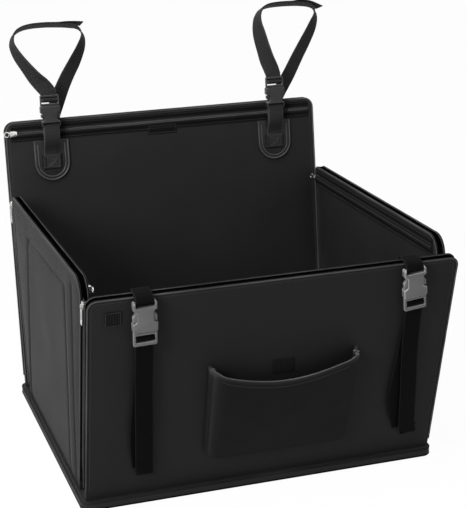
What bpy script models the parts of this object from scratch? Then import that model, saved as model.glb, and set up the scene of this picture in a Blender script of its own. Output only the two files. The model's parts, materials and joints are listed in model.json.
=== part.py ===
# Foldable dog car seat: a cloth box whose walls are stiffened by boards and zip together
# at the corners, with two headrest loops, two buckled front straps and a front pocket.
# Metres, +Z up, the front wall towards -Y, the origin in the middle of the base's underside.

import math

import bmesh
import bpy
from mathutils import Matrix, Vector

mm = 0.001

# Clearances that several pieces share
touch_gap = 0.3 * mm          # between pieces that lie on each other
slide_gap = 0.3 * mm          # round a slider on its coil
cut_overrun = 5 * mm          # how far a cutter runs past what it cuts
weld_distance = 0.01 * mm
arc_steps = 5                 # segments in a rounded corner
bar_steps = 6                 # segments of webbing round a buckle's bar
stub_turns = (0, 180)         # degrees of the bar that a stub covers
anchor_turns = (-40, 200)     # degrees of the bar that an anchor covers

# Base
foot_width = 490 * mm         # across the side walls' outer faces, at their foot
foot_depth = 404 * mm         # across the front and back walls' outer faces, at their foot
base_flange = 6 * mm          # how far the bound edge stands out past the walls
base_thickness = 12 * mm
base_corner_radius = 14 * mm
base_edge_round = 3 * mm
base_board_thickness = 9 * mm
base_slot_width = 320 * mm    # opening in the back edge for the board
base_slot_height = 4 * mm

# Walls
wall_thickness = 12 * mm
skin = 1 * mm                 # cloth of a cover
board_thickness = 5 * mm
front_height = 309 * mm       # along the wall
back_height = 403 * mm
back_top_narrowing = 0.5 * mm # each side, from the foot's width to the back wall's top
side_front_height = 317 * mm
side_back_height = 300 * mm
front_lean = math.radians(12.5)
back_lean = math.radians(8.4)
side_lean = math.radians(0.4)
front_corner_radius = 12 * mm
back_corner_radius = 14 * mm
side_front_radius = 24 * mm
side_back_radius = 12 * mm
foot_corner_radius = 2 * mm
piping_radius = 1.6 * mm
piping_stand = 0.6 * mm       # how far the piping stands proud of a face
piping_foot = 14 * mm         # the piping starts this far above the foot

# Zippers
band_width = 24 * mm          # both tapes and the coil
tape_thickness = 0.7 * mm
coil_width = 2.4 * mm         # each half
coil_split = 1.6 * mm         # between the halves, where the slider's post runs
coil_height = 2.2 * mm
coil_round = 0.7 * mm
zip_drop = 16 * mm            # from a wall's top edge to its board zipper
zip_margin = 7.4 * mm         # from a wall's corner to its board zipper's end
zip_front_margin = 19 * mm    # the same near the box's front corners
slit_overrun = 3.5 * mm       # the opening runs this far past the coil's ends
zip_stop_length = 2 * mm      # the stop that joins both tapes at the open end
zip_stop_height = 0.4 * mm    # above the coil
corner_tape_inset = 3.4 * mm  # corner tapes lie this far inside the side walls' outer faces
corner_tape_foot = 10 * mm
corner_tape_top = 8 * mm      # below the lower of the two walls' tops

# Sliders
slider_length = 11 * mm
slider_width = 8.8 * mm
slider_plate = 1.1 * mm
slider_flange = 0.9 * mm
slider_post = 1 * mm          # width of the post between the plates
slider_tail_share = 0.72      # width of its tail, of its full width
slider_shoulder_share = 0.15  # where its full width ends, of its length, from the middle
bridge_width = 1.8 * mm
bridge_length = 6.4 * mm
bridge_wall = 1.2 * mm
bridge_hole_height = 1.7 * mm
bridge_roof = 0.9 * mm

# Pullers
puller_thickness = 1.1 * mm
puller_eye_width = 6 * mm
puller_window_width = 2.6 * mm
puller_window_length = 4.4 * mm
puller_body_width = 8 * mm
puller_length = 27 * mm       # from its pivot
puller_slot_width = 3.2 * mm
puller_slot_length = 13 * mm
puller_slot_start = 8.5 * mm
puller_slot_round = 1.4 * mm
ring_radius = 4.6 * mm
ring_hole_radius = 2.9 * mm
ring_reach = 10 * mm          # from its pivot to the ring's middle
ring_neck_turn = 60           # degrees from the ring's top to its neck's corner
ring_steps = 12

# Parked sliders, from the nearer end of their coil to the slider's middle
board_slider_park = 3 * mm
corner_slider_park = 6 * mm
corner_slider_low = 36 * mm   # above the walls' foot, at the end of its way down

# Webbing
webbing_width = 24 * mm
webbing_thickness = 1.3 * mm
layer_gap = 0.4 * mm          # between two layers of webbing

# Buckles: the two sizes, smaller ones on the headrest straps
head_buckle = {
    "width": 30 * mm,
    "socket": 32 * mm,        # the socket's length
    "mouth": 12 * mm,         # closed part at its mouth
    "window": 10 * mm,        # open waist where the prongs are pressed
    "frame": 16 * mm,         # the adjuster frame's length
    "root": 3.2 * mm,         # from the frame's root to its first slot
}
front_buckle = {
    "width": 32 * mm,
    "socket": 42 * mm,
    "mouth": 14 * mm,
    "window": 16 * mm,
    "frame": 20 * mm,
    "root": 5 * mm,
}
socket_thickness = 9.5 * mm
socket_wall = 1.6 * mm        # above and below the cavity
socket_side_wall = 3 * mm
socket_waist_inset = 5.2 * mm
socket_bar_inset = 0.8 * mm
socket_edge_round = 0.8 * mm
bar_thickness = 3 * mm
bar_slot_height = 4 * mm
bar_slot_width = 25 * mm
clip_thickness = 4.6 * mm
clip_bar_thickness = 2.4 * mm
clip_bar_width = 2.6 * mm
clip_slot_height = 3.8 * mm
clip_chamfer = 1.2 * mm
guide_width = 5 * mm
guide_short = 4 * mm          # how much shorter the middle guide is than the prongs
guide_chamfer = 1 * mm
prong_arm_width = 2.8 * mm
prong_arm_gap = 0.8 * mm      # between an arm and the cavity's side
prong_root_extra = 0.8 * mm
prong_hook = 1.3 * mm         # how far the barb runs inwards
prong_end_gap = 0.8 * mm      # before the cavity's end
prong_barb_gap = 0.4 * mm     # from the mouth's wall to the barb's shoulder
prong_barb_inset = 0.6 * mm   # from the buckle's full width
prong_nose = 1.5 * mm

# Headrest straps
head_strap_inset = 67 * mm    # from the wall's side edges to each strap's middle
head_bar_stand = 24 * mm      # the socket's end, from the back wall's outer face
head_bar_drop = 9 * mm        # the socket's end, below the wall's top edge
head_buckle_tilt = math.radians(2)
loop_spread = 110 * mm
loop_height = 150 * mm
tail_rows = 11                # rows at the loop's end that its tail lies over
patch_width = 54 * mm
patch_length = 62 * mm
patch_thickness = 1.8 * mm
patch_rim = 2.4 * mm
patch_rim_height = 1.4 * mm
patch_top_drop = 29 * mm      # below the wall's top edge
patch_box_width = 31 * mm
patch_box_length = 22 * mm
patch_box_drop = 51 * mm      # the sewn box's top, below the wall's top edge
patch_box_wall = 1.5 * mm

# Front straps
front_left_inset = 67 * mm     # from the wall's left edge to the strap's middle
front_right_inset = 64 * mm    # the same at the right
front_bar_stand = 7.5 * mm    # the socket's end, out from the front wall's outer face
front_bar_drop = 2 * mm       # the socket's end, below the wall's top edge
front_buckle_tilt = math.radians(3)
front_left_swing = math.radians(2)
front_right_swing = math.radians(7)
front_left_drift = 8 * mm     # sideways run of the hanging tail
front_right_drift = 19 * mm
anchor_inner_drop = 3 * mm    # how far the anchor reaches down the inner face
anchor_bend = 1.6 * mm
tail_hem_height = 37 * mm     # the tail's end, above the wall's foot
hem_length = 12 * mm
hem_kick = 0.9 * mm
sewn_end_height = 46 * mm

# Pocket
pocket_x = 15 * mm            # its middle, from the wall's middle
pocket_width = 194 * mm
pocket_foot = 43 * mm         # its lower seam, above the wall's foot
pocket_height = 142 * mm      # to the mouth's corners
pocket_sag = 19 * mm          # the mouth's middle, below its corners
pocket_depth = 17 * mm        # the mouth's stand off the wall
pocket_cloth = 0.8 * mm
pocket_seam_depth = 5.5 * mm  # the pleats' stack at the lower seam
pleat_width = 6 * mm
pocket_columns = 14
pocket_rows = 7
tape_patch_width = 29 * mm
tape_patch_height = 22 * mm
tape_patch_thickness = 1.1 * mm
tape_patch_top = 187 * mm     # above the wall's foot

bodies = {}


def clear_scene():
    for item in list(bpy.data.objects):
        bpy.data.objects.remove(item, do_unlink=True)


def make_material(name, colour, roughness, metallic):
    material = bpy.data.materials.new(name)
    material.use_nodes = True
    shader = material.node_tree.nodes["Principled BSDF"]
    shader.inputs["Base Color"].default_value = (*colour, 1)
    shader.inputs["Roughness"].default_value = roughness
    shader.inputs["Metallic"].default_value = metallic
    return material


def add_empty(name, matrix):
    empty = bpy.data.objects.new(name, None)
    bpy.context.scene.collection.objects.link(empty)
    empty.matrix_world = matrix
    return empty


def add_object(name, shape, look, parent, place=None, smooth=False):
    bmesh.ops.remove_doubles(shape, verts=shape.verts, dist=weld_distance)
    bmesh.ops.recalc_face_normals(shape, faces=shape.faces)
    mesh = bpy.data.meshes.new(name)
    shape.to_mesh(mesh)
    shape.free()
    piece = bpy.data.objects.new(name, mesh)
    bpy.context.scene.collection.objects.link(piece)
    if look is not None:
        mesh.materials.append(make_material(name, *look))
    if smooth:
        mesh.shade_smooth()
        mesh.set_sharp_from_angle(angle=math.radians(35))
    piece.parent = parent
    piece.matrix_parent_inverse = Matrix.Identity(4)
    if place is not None:
        piece.matrix_basis = place
    return piece


def cut(piece, cutter, operation="DIFFERENCE"):
    cutter.hide_render = True
    cutter.display_type = "WIRE"
    step = piece.modifiers.new(operation.title(), "BOOLEAN")
    step.operation = operation
    step.solver = "EXACT"
    step.object = cutter


def add_prism(shape, outline, low, high, along="Y"):
    # extrudes an outline: (x, z) points along Y, (x, y) points along Z, or (y, z) points along X
    order = {
        "Y": lambda a, b, c: (a, c, b),
        "Z": lambda a, b, c: (a, b, c),
        "X": lambda a, b, c: (c, a, b),
    }[along]
    ring = [shape.verts.new(order(a, b, low)) for a, b in outline]
    face = shape.faces.new(ring)
    grown = bmesh.ops.extrude_face_region(shape, geom=[face])
    far = [item for item in grown["geom"] if isinstance(item, bmesh.types.BMVert)]
    step = Vector(order(0, 0, high - low))
    bmesh.ops.translate(shape, vec=step, verts=far)


def prism(outline, low, high, along="Y"):
    shape = bmesh.new()
    add_prism(shape, outline, low, high, along)
    return shape


def rectangle(x_low, x_high, z_low, z_high):
    return [(x_low, z_low), (x_high, z_low), (x_high, z_high), (x_low, z_high)]


def rounded(corners, radii, steps=arc_steps):
    # rounds each corner of an outline with its own radius
    points = []
    count = len(corners)
    for index, radius in enumerate(radii):
        here = Vector(corners[index])
        back = (Vector(corners[index - 1]) - here).normalized()
        ahead = (Vector(corners[(index + 1) % count]) - here).normalized()
        half = back.angle(ahead) / 2
        centre = here + (back + ahead).normalized() * (radius / math.sin(half))
        start = here + back * (radius / math.tan(half)) - centre
        finish = here + ahead * (radius / math.tan(half)) - centre
        sweep = -start.angle_signed(finish)
        for step in range(steps + 1):
            points.append(tuple(centre + Matrix.Rotation(sweep * step / steps, 2) @ start))
    return points


def inset(corners, distance):
    # moves each side of a convex outline inwards
    points = []
    count = len(corners)
    for index in range(count):
        before = Vector(corners[index - 1])
        here = Vector(corners[index])
        after = Vector(corners[(index + 1) % count])
        back = (before - here).normalized()
        ahead = (after - here).normalized()
        half = back.angle(ahead) / 2
        points.append(tuple(here + (back + ahead).normalized() * (distance / math.sin(half))))
    return points


def tube(shape, path, radius, depth, sides=6):
    # a bead along an open path of (x, z) points, with its middle at y = depth
    rings = []
    for index, point in enumerate(path):
        before = Vector(path[max(index - 1, 0)])
        after = Vector(path[min(index + 1, len(path) - 1)])
        along = (after - before).normalized()
        out = Vector((along.y, -along.x))
        ring = []
        for side in range(sides):
            turn = 2 * math.pi * (side + 0.5) / sides
            reach = radius * math.cos(turn)
            ring.append(shape.verts.new((
                point[0] + out.x * reach,
                depth + radius * math.sin(turn),
                point[1] + out.y * reach,
            )))
        rings.append(ring)
    for ring, following in zip(rings, rings[1:]):
        for side in range(sides):
            beside = (side + 1) % sides
            shape.faces.new((ring[side], ring[beside], following[beside], following[side]))
    shape.faces.new(rings[0])
    shape.faces.new(rings[-1])


def ribbon(route, width, thickness):
    # webbing along a route of (point, across) pairs; across is the direction of its width
    shape = bmesh.new()
    rings = []
    for index, (point, across) in enumerate(route):
        before = route[max(index - 1, 0)][0]
        after = route[min(index + 1, len(route) - 1)][0]
        along = (after - before).normalized()
        face = along.cross(across).normalized()
        side = face.cross(along).normalized() * (width / 2)
        lift = face * (thickness / 2)
        corners = (side + lift, lift - side, -side - lift, side - lift)
        rings.append([shape.verts.new(point + corner) for corner in corners])
    for ring, following in zip(rings, rings[1:]):
        for corner in range(4):
            beside = (corner + 1) % 4
            shape.faces.new((ring[corner], ring[beside], following[beside], following[corner]))
    shape.faces.new(rings[0])
    shape.faces.new(rings[-1])
    return shape


# Looks: colour, roughness, metallic
cloth = ((0.020, 0.020, 0.021), 0.85, 0.0)
lining = ((0.012, 0.012, 0.013), 0.9, 0.0)
board = ((0.055, 0.055, 0.058), 0.7, 0.0)
tape_look = ((0.010, 0.010, 0.011), 0.75, 0.0)
chrome = ((0.62, 0.62, 0.64), 0.22, 1.0)
plastic = ((0.012, 0.012, 0.013), 0.38, 0.0)
webbing_look = ((0.014, 0.014, 0.015), 0.8, 0.0)

# Places worked out from the sizes
foot_level = base_thickness + touch_gap
tape_level = tape_thickness / 2
coil_top = tape_level + coil_height
plate_low = coil_top + slide_gap
plate_top = plate_low + slider_plate
pivot_height = plate_top + bridge_hole_height / 2
corner_offset = wall_thickness + band_width
webbing_half = webbing_thickness / 2
layer_step = webbing_thickness + layer_gap
stack_height = webbing_thickness + layer_step + 2 * touch_gap
bar_reach = bar_thickness / math.sqrt(2) + touch_gap + webbing_half
head_strap_x = foot_width / 2 - head_strap_inset
front_left_x = front_left_inset - foot_width / 2
front_right_x = foot_width / 2 - front_right_inset


def turned(angle, axis):
    return Matrix.Rotation(angle, 4, axis)


wall_frames = {
    "front_wall": Matrix.Translation((0, -foot_depth / 2, foot_level)) @ turned(front_lean, "X"),
    "back_wall": Matrix.Translation((0, foot_depth / 2, foot_level))
    @ turned(math.pi, "Z") @ turned(back_lean, "X"),
    "left_wall": Matrix.Translation((-foot_width / 2, 0, foot_level))
    @ turned(-math.pi / 2, "Z") @ turned(side_lean, "X"),
    "right_wall": Matrix.Translation((foot_width / 2, 0, foot_level))
    @ turned(math.pi / 2, "Z") @ turned(side_lean, "X"),
}


def side_edge(lean, height):
    # where a side wall's end lies, from its middle, at a height
    return foot_depth / 2 - corner_offset / math.cos(lean) + height * math.tan(lean)


def side_corners(front_sign):
    # a side wall's corners: its own +x end is the front one on the left wall only
    front = [(side_edge(front_lean, 0), 0),
             (side_edge(front_lean, side_front_height), side_front_height)]
    back = [(-side_edge(back_lean, 0), 0),
            (-side_edge(back_lean, side_back_height), side_back_height)]
    if front_sign > 0:
        return [back[0], front[0], front[1], back[1]]
    return [(-x, z) for x, z in (front[0], back[0], back[1], front[1])]


front_top_half = foot_width / 2 + front_height * math.cos(front_lean) * math.tan(side_lean)
back_top_half = foot_width / 2 - back_top_narrowing
wall_corners = {
    "front_wall": [(-foot_width / 2, 0), (foot_width / 2, 0),
                   (front_top_half, front_height), (-front_top_half, front_height)],
    "back_wall": [(-foot_width / 2, 0), (foot_width / 2, 0),
                  (back_top_half, back_height), (-back_top_half, back_height)],
    "left_wall": side_corners(1),
    "right_wall": side_corners(-1),
}
wall_radii = {
    "front_wall": (foot_corner_radius, foot_corner_radius, front_corner_radius, front_corner_radius),
    "back_wall": (foot_corner_radius, foot_corner_radius, back_corner_radius, back_corner_radius),
    "left_wall": (foot_corner_radius, foot_corner_radius, side_front_radius, side_back_radius),
    "right_wall": (foot_corner_radius, foot_corner_radius, side_back_radius, side_front_radius),
}
zip_margins = {
    "front_wall": (zip_front_margin, zip_front_margin),
    "back_wall": (zip_margin, zip_margin),
    "left_wall": (zip_margin, zip_front_margin),
    "right_wall": (zip_front_margin, zip_margin),
}


# Base


def make_base():
    width = foot_width + 2 * base_flange
    depth = foot_depth + 2 * base_flange
    whole = rectangle(-width / 2, width / 2, -depth / 2, depth / 2)
    shape = prism(rounded(whole, [base_corner_radius] * 4), 0, base_thickness, along="Z")
    rims = [edge for edge in shape.edges
            if abs(edge.calc_face_angle(0) - math.pi / 2) < math.radians(5)]
    bmesh.ops.bevel(shape, geom=rims, offset=base_edge_round, segments=2, profile=0.5,
                    affect="EDGES", material=-1)
    cover = add_object("base_cover", shape, cloth, None)
    hollow = inset(whole, base_edge_round)
    radii = [base_corner_radius - base_edge_round] * 4
    space = prism(rounded(hollow, radii), skin, base_thickness - skin, along="Z")
    cut(cover, add_object("base_cavity_cutter", space, None, None))
    slot_low = (base_thickness - base_slot_height) / 2
    slot = rectangle(-base_slot_width / 2, base_slot_width / 2,
                     depth / 2 - base_edge_round - cut_overrun, depth / 2 + cut_overrun)
    cut(cover, add_object("base_slot_cutter",
                          prism(slot, slot_low, slot_low + base_slot_height, along="Z"), None, None))
    board_low = (base_thickness - base_board_thickness) / 2
    plate = prism(rounded(inset(hollow, touch_gap), radii),
                  board_low, board_low + base_board_thickness, along="Z")
    add_object("base_board", plate, board, None)


# Walls: in a wall's own frame x runs along it, -y is outwards and z runs up its outer face


def zip_line(name):
    # the middle of a wall's board zipper: its left and right ends
    corners = wall_corners[name]
    left = Vector(corners[3])
    right = Vector(corners[2])
    along = (right - left).normalized()
    down = Vector((along.y, -along.x)) * zip_drop
    left_margin, right_margin = zip_margins[name]
    return left + down + along * left_margin, right + down - along * right_margin


def piping_path(name):
    # up one edge, over the top and down the other
    corners = wall_corners[name]
    edge = rounded(corners, wall_radii[name])
    right = Vector(corners[2]) - Vector(corners[1])
    left = Vector(corners[3]) - Vector(corners[0])
    start = Vector(corners[1]) + right * (piping_foot / right.y)
    finish = Vector(corners[0]) + left * (piping_foot / left.y)
    upper = edge[2 * (arc_steps + 1):]
    return [tuple(start)] + upper + [tuple(finish)]


def make_wall(name):
    hinge = add_empty(name + "_hinge", wall_frames[name])
    bodies[name] = hinge
    corners = wall_corners[name]
    cover = add_object(name + "_cover", prism(rounded(corners, wall_radii[name]), 0, wall_thickness),
                       cloth, hinge, smooth=True)
    beads = bmesh.new()
    tube(beads, piping_path(name), piping_radius, piping_radius - piping_stand)
    tube(beads, piping_path(name), piping_radius, wall_thickness - piping_radius + piping_stand)
    cut(cover, add_object(name + "_piping_maker", beads, None, hinge), "UNION")
    radii = [max(radius - skin, skin) for radius in wall_radii[name]]
    hollow = prism(rounded(inset(corners, skin), radii), skin, wall_thickness - skin)
    cut(cover, add_object(name + "_cavity_cutter", hollow, None, hinge))
    left, right = zip_line(name)
    along = (right - left).normalized()
    side = Vector((-along.y, along.x)) * (slider_width / 2 + slide_gap)
    left = left - along * slit_overrun
    right = right + along * slit_overrun
    slit = [tuple(left - side), tuple(right - side), tuple(right + side), tuple(left + side)]
    cut(cover, add_object(name + "_slit_cutter",
                          prism(slit, wall_thickness - 2 * skin, wall_thickness + cut_overrun),
                          None, hinge))
    board_low = skin + touch_gap
    plate = prism(rounded(inset(corners, skin + touch_gap), radii),
                  board_low, board_low + board_thickness)
    add_object(name + "_board", plate, board, hinge)


# Zippers: in a zipper's frame z runs towards its closed end and -y towards the visible side


def half_section(side, edge):
    # one tape with its half of the coil, as (x, y) points; side is -1 or 1
    start = coil_split / 2
    end = start + coil_width
    points = [
        (start, tape_level), (edge, tape_level), (edge, -tape_level), (end, -tape_level),
        (end, coil_round - coil_top), (end - coil_round, -coil_top),
        (start + coil_round, -coil_top), (start, coil_round - coil_top),
    ]
    return [(side * x, y) for x, y in points]


def plain_section(side, edge):
    # the outer strip of a tape, clear of the slider
    start = slider_width / 2 + slide_gap
    return [(side * start, tape_level), (side * edge, tape_level),
            (side * edge, -tape_level), (side * start, -tape_level)]


def zip_frame(wall, place, along, outward):
    # outward is 1 where the wall's inner side shows the zipper, -1 where its outer side does
    up = Vector((along[0], 0, along[1])).normalized()
    back = Vector((0, -outward, 0))
    turn = Matrix((back.cross(up), back, up)).transposed().to_4x4()
    return wall_frames[wall] @ Matrix.Translation(place) @ turn


def slider_shape():
    # plates, post and flanges in one section along the coil
    half = slider_width / 2
    post = slider_post / 2
    inner = half - slider_flange
    low = tape_level + slide_gap
    right = [(half, -plate_top), (half, -low), (inner, -low), (inner, -plate_low),
             (post, -plate_low), (post, low), (half, low), (half, low + slider_plate)]
    left = [(-x, y) for x, y in reversed(right)]
    return prism(right + left, -slider_length / 2, slider_length / 2, along="Z")


def slider_outline():
    # narrow at the tail, full width from the shoulders on, which lead towards the closed end
    half = slider_width / 2
    end = slider_length / 2
    tail = half * slider_tail_share
    shoulder = -slider_length * slider_shoulder_share
    right = [(tail, -end), (half, shoulder), (half, end - coil_round), (half - coil_round, end)]
    return right + [(-x, z) for x, z in reversed(right)]


def bridge_shape():
    # the arch that carries the puller, as (y, z) points extruded across
    end = bridge_length / 2
    inner = end - bridge_wall
    low = slider_plate / 2 - plate_top
    roof = -plate_top - bridge_hole_height
    crown = roof - bridge_roof
    outline = [(low, -end), (roof, -end), (crown, -inner), (crown, inner), (roof, end), (low, end),
               (low, inner), (roof, inner), (roof, -inner), (low, -inner)]
    return prism(outline, -bridge_width / 2, bridge_width / 2, along="X")


def make_slider(name, place):
    body = add_empty(name + "_place", place)
    bodies[name] = body
    slider = add_object(name, slider_shape(), chrome, body)
    reach = plate_top + cut_overrun
    cut(slider, add_object(name + "_outline_cutter", prism(slider_outline(), -reach, reach), None, body),
        "INTERSECT")
    cut(slider, add_object(name + "_bridge_maker", bridge_shape(), None, body), "UNION")


def puller_outline(ring):
    eye = puller_eye_width / 2
    neck = -puller_window_length - puller_thickness
    top = puller_thickness / 2
    if ring:
        arc = []
        for step in range(ring_steps + 1):
            open_share = step / ring_steps
            turn = math.radians(ring_neck_turn + (360 - 2 * ring_neck_turn) * open_share)
            arc.append((-ring_radius * math.sin(turn), ring_radius * math.cos(turn) - ring_reach))
        return [(-eye, top), (-eye, neck)] + arc + [(eye, neck), (eye, top)]
    body = puller_body_width / 2
    tip = -puller_length
    return [(-eye, top), (-eye, neck), (-body, neck - body / 2), (-body, tip + body / 2),
            (-body / 2, tip), (body / 2, tip), (body, tip + body / 2), (body, neck - body / 2),
            (eye, neck), (eye, top)]


def make_puller(name, place, ring):
    # its own x axis is its pivot, and at rest it lies along its -z
    body = add_empty(name + "_pivot", place)
    bodies[name] = body
    half = puller_thickness / 2
    puller = add_object(name, prism(puller_outline(ring), -half, half), chrome, body)
    window = puller_window_width / 2
    holes = bmesh.new()
    add_prism(holes, rectangle(-window, window, -half - puller_window_length, -half),
              -cut_overrun, cut_overrun)
    if ring:
        turns = [2 * math.pi * step / ring_steps for step in range(ring_steps)]
        hole = [(ring_hole_radius * math.sin(turn), ring_hole_radius * math.cos(turn) - ring_reach)
                for turn in turns]
    else:
        slot = puller_slot_width / 2
        low = -puller_slot_start - puller_slot_length
        hole = rounded(rectangle(-slot, slot, low, -puller_slot_start), [puller_slot_round] * 4, 2)
    add_prism(holes, hole, -cut_overrun, cut_overrun)
    cut(puller, add_object(name + "_hole_cutter", holes, None, body))


def make_board_zipper(wall):
    # a closed zipper over the slit in the wall's inner skin, its slider parked at the right end
    left, right = zip_line(wall)
    along = right - left
    depth = wall_thickness + touch_gap + tape_level
    frame = zip_frame(wall, (right.x, depth, right.y), tuple(along), 1)
    halves = bmesh.new()
    for side in (-1, 1):
        add_prism(halves, half_section(side, band_width / 2), -along.length, 0, along="Z")
    hinge = bodies[wall]
    place = wall_frames[wall].inverted() @ frame
    zipper = add_object(wall + "_zipper", halves, tape_look, hinge, place)
    half = coil_split / 2 + coil_width / 2
    stop = prism(rectangle(-half, half, -along.length, zip_stop_length - along.length),
                 -coil_top - zip_stop_height, 0)
    cut(zipper, add_object(wall + "_stop_maker", stop, None, hinge, place), "UNION")
    place = frame @ Matrix.Translation((0, 0, -board_slider_park))
    make_slider(wall + "_zipper_slider", place)
    pivot = place @ Matrix.Translation((0, -pivot_height, 0)) @ turned(math.pi, "X")
    make_puller(wall + "_zipper_puller", pivot, True)


def make_corner(corner, side_wall, end_wall, lean, end):
    # end is the side wall's own x direction towards the corner; one half of the zipper is sewn to
    # each wall, and the side wall's half has its coil only between the slider's two stops
    heights = {"front_wall": front_height, "back_wall": side_back_height}
    foot_x = foot_depth / 2 - (corner_offset - band_width / 2) / math.cos(lean)
    along = (end * math.sin(lean), math.cos(lean))
    frame = zip_frame(side_wall, (end * foot_x, corner_tape_inset, 0), along, -1)
    top = heights[end_wall] - corner_tape_top
    edge = band_width / 2 - piping_stand - touch_gap
    park = top - corner_slider_park
    add_object(corner + "_zipper_" + end_wall[:-5] + "_half",
               prism(half_section(end, edge), corner_tape_foot, top, along="Z"),
               tape_look, bodies[end_wall], wall_frames[end_wall].inverted() @ frame)
    place = wall_frames[side_wall].inverted() @ frame
    hinge = bodies[side_wall]
    strip = add_object(corner + "_zipper_side_half",
                       prism(plain_section(-end, edge), corner_tape_foot, top, along="Z"),
                       tape_look, hinge, place)
    coil_from = corner_slider_low + slider_length / 2 + slide_gap
    coil_to = park - puller_length - slide_gap
    coil = prism(half_section(-end, edge), coil_from, coil_to, along="Z")
    cut(strip, add_object(corner + "_coil_maker", coil, None, hinge, place), "UNION")
    place = frame @ Matrix.Translation((0, 0, park))
    make_slider(corner + "_corner_slider", place)
    make_puller(corner + "_corner_puller", place @ Matrix.Translation((0, -pivot_height, 0)), False)


# Buckles: in a buckle's frame the socket's mouth is at z = 0, the clip lies towards +z, -y faces out


def mirrored(right):
    # an outline from its right half, listed from its lower end upwards
    return right + [(-x, z) for x, z in reversed(right)]


def bevelled_prism(outline, half, width):
    shape = prism(outline, -half, half)
    rims = [edge for edge in shape.edges if abs(edge.verts[0].co.y - edge.verts[1].co.y) < weld_distance]
    bmesh.ops.bevel(shape, geom=rims, offset=width, segments=1, profile=0.5,
                    affect="EDGES", material=-1)
    return shape


def make_socket(name, size, parent, place):
    # a flat tube with a waist on each side, where the prongs stand free, and a bar at its end
    mouth = size["width"] / 2
    waist = mouth - socket_waist_inset
    end = mouth - socket_bar_inset
    slope = socket_wall
    length = size["socket"]
    neck = -size["mouth"]
    foot = neck - size["window"]
    right = [(end - slope, -length), (end, slope - length), (end, foot - slope),
             (waist + slope, foot), (waist, foot + slope), (waist, neck - slope),
             (waist + slope, neck), (mouth, neck + slope), (mouth, -slope), (mouth - slope, 0)]
    socket = add_object(name, bevelled_prism(mirrored(right), socket_thickness / 2, socket_edge_round),
                        plastic, parent, place)
    cavity = mouth - socket_side_wall
    inner = socket_thickness / 2 - socket_wall
    room = prism(rectangle(-cavity, cavity, foot, cut_overrun), -inner, inner)
    cut(socket, add_object(name + "_cavity_cutter", room, None, parent, place))
    slot = bar_slot_width / 2
    bar_top = bar_thickness - length
    deep = socket_thickness / 2 + cut_overrun
    opening = prism(rectangle(-slot, slot, bar_top, bar_top + bar_slot_height), -deep, deep)
    cut(socket, add_object(name + "_slot_cutter", opening, None, parent, place))
    reliefs = bmesh.new()
    around = rectangle(-slot, slot, -length - cut_overrun, bar_top + touch_gap)
    add_prism(reliefs, around, bar_thickness / 2, deep)
    add_prism(reliefs, around, -deep, -bar_thickness / 2)
    cut(socket, add_object(name + "_bar_cutter", reliefs, None, parent, place))


def make_clip(name, size, place):
    # an adjuster frame with two slots, a middle guide and two barbed prongs
    body = add_empty(name + "_slide", place)
    bodies[name] = body
    outer = size["width"] / 2 - prong_barb_inset
    arm_outer = size["width"] / 2 - socket_side_wall - prong_arm_gap
    arm_inner = arm_outer - prong_arm_width
    hook = arm_inner - prong_hook
    shoulder = -size["mouth"] - prong_barb_gap
    tip = prong_end_gap - size["mouth"] - size["window"]
    guide = guide_width / 2
    guide_end = tip + guide_short
    length = size["frame"]
    half_width = size["width"] / 2 - socket_bar_inset
    right = [
        (guide - guide_chamfer, guide_end), (guide, guide_end + guide_chamfer), (guide, touch_gap),
        (arm_inner - prong_root_extra, touch_gap), (arm_inner, shoulder / 2), (hook, shoulder),
        (hook, tip), (hook + prong_nose, tip), (outer, (shoulder + tip) / 2), (outer, shoulder),
        (arm_outer, shoulder), (arm_outer, touch_gap), (half_width, touch_gap),
        (half_width, length - clip_chamfer), (half_width - clip_chamfer, length),
    ]
    half = clip_thickness / 2
    clip = add_object(name, prism(mirrored(right), -half, half), plastic, body)
    wide = bar_slot_width / 2
    first = size["root"]
    second = first + clip_slot_height + clip_bar_width
    deep = half + cut_overrun
    slots = bmesh.new()
    add_prism(slots, rectangle(-wide, wide, first, first + clip_slot_height), -deep, deep)
    add_prism(slots, rectangle(-wide, wide, second, second + clip_slot_height), -deep, deep)
    cut(clip, add_object(name + "_slot_cutter", slots, None, body))
    reliefs = bmesh.new()
    around = rectangle(-wide, wide, first + touch_gap, second + touch_gap)
    add_prism(reliefs, around, clip_bar_thickness / 2, deep)
    add_prism(reliefs, around, -deep, -clip_bar_thickness / 2)
    cut(clip, add_object(name + "_bar_cutter", reliefs, None, body))


def ladder_route(frame, size):
    # webbing round the clip's middle bar: the load strand comes from behind and the tail leaves
    # between it and the frame's end rail
    middle = size["root"] + clip_slot_height + clip_bar_width / 2
    rail_low = middle + clip_bar_width / 2 + clip_slot_height
    rail_back = clip_thickness / 2
    reach = math.hypot(clip_bar_thickness, clip_bar_width) / 2 + touch_gap + webbing_half
    skirt = touch_gap + webbing_half
    lean = math.sqrt(0.5)
    exit_z = size["frame"] + 2 * layer_step
    tail_y = rail_back + skirt
    load_y = tail_y + layer_step
    tail_corner = (rail_back + skirt * lean, rail_low - skirt * lean)
    load_corner = (tail_corner[0] + layer_step * lean, tail_corner[1] - layer_step * lean)
    places = [(load_y, exit_z), (load_y, rail_low + layer_step), load_corner]
    for degrees in range(0, 216, 36):
        turn = math.radians(degrees)
        places.append((reach * math.cos(turn), middle - reach * math.sin(turn)))
    turn = math.radians(215)
    places.append((reach * math.cos(turn), middle - reach * math.sin(turn)))
    places += [tail_corner, (tail_y, rail_low + layer_gap), (tail_y, exit_z)]
    return [frame @ Vector((0, y, z)) for y, z in places]


def buckle_across(frame):
    # the direction along a buckle's bars, towards +x
    across = frame.to_3x3() @ Vector((1, 0, 0))
    return across if across.x > 0 else -across


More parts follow.
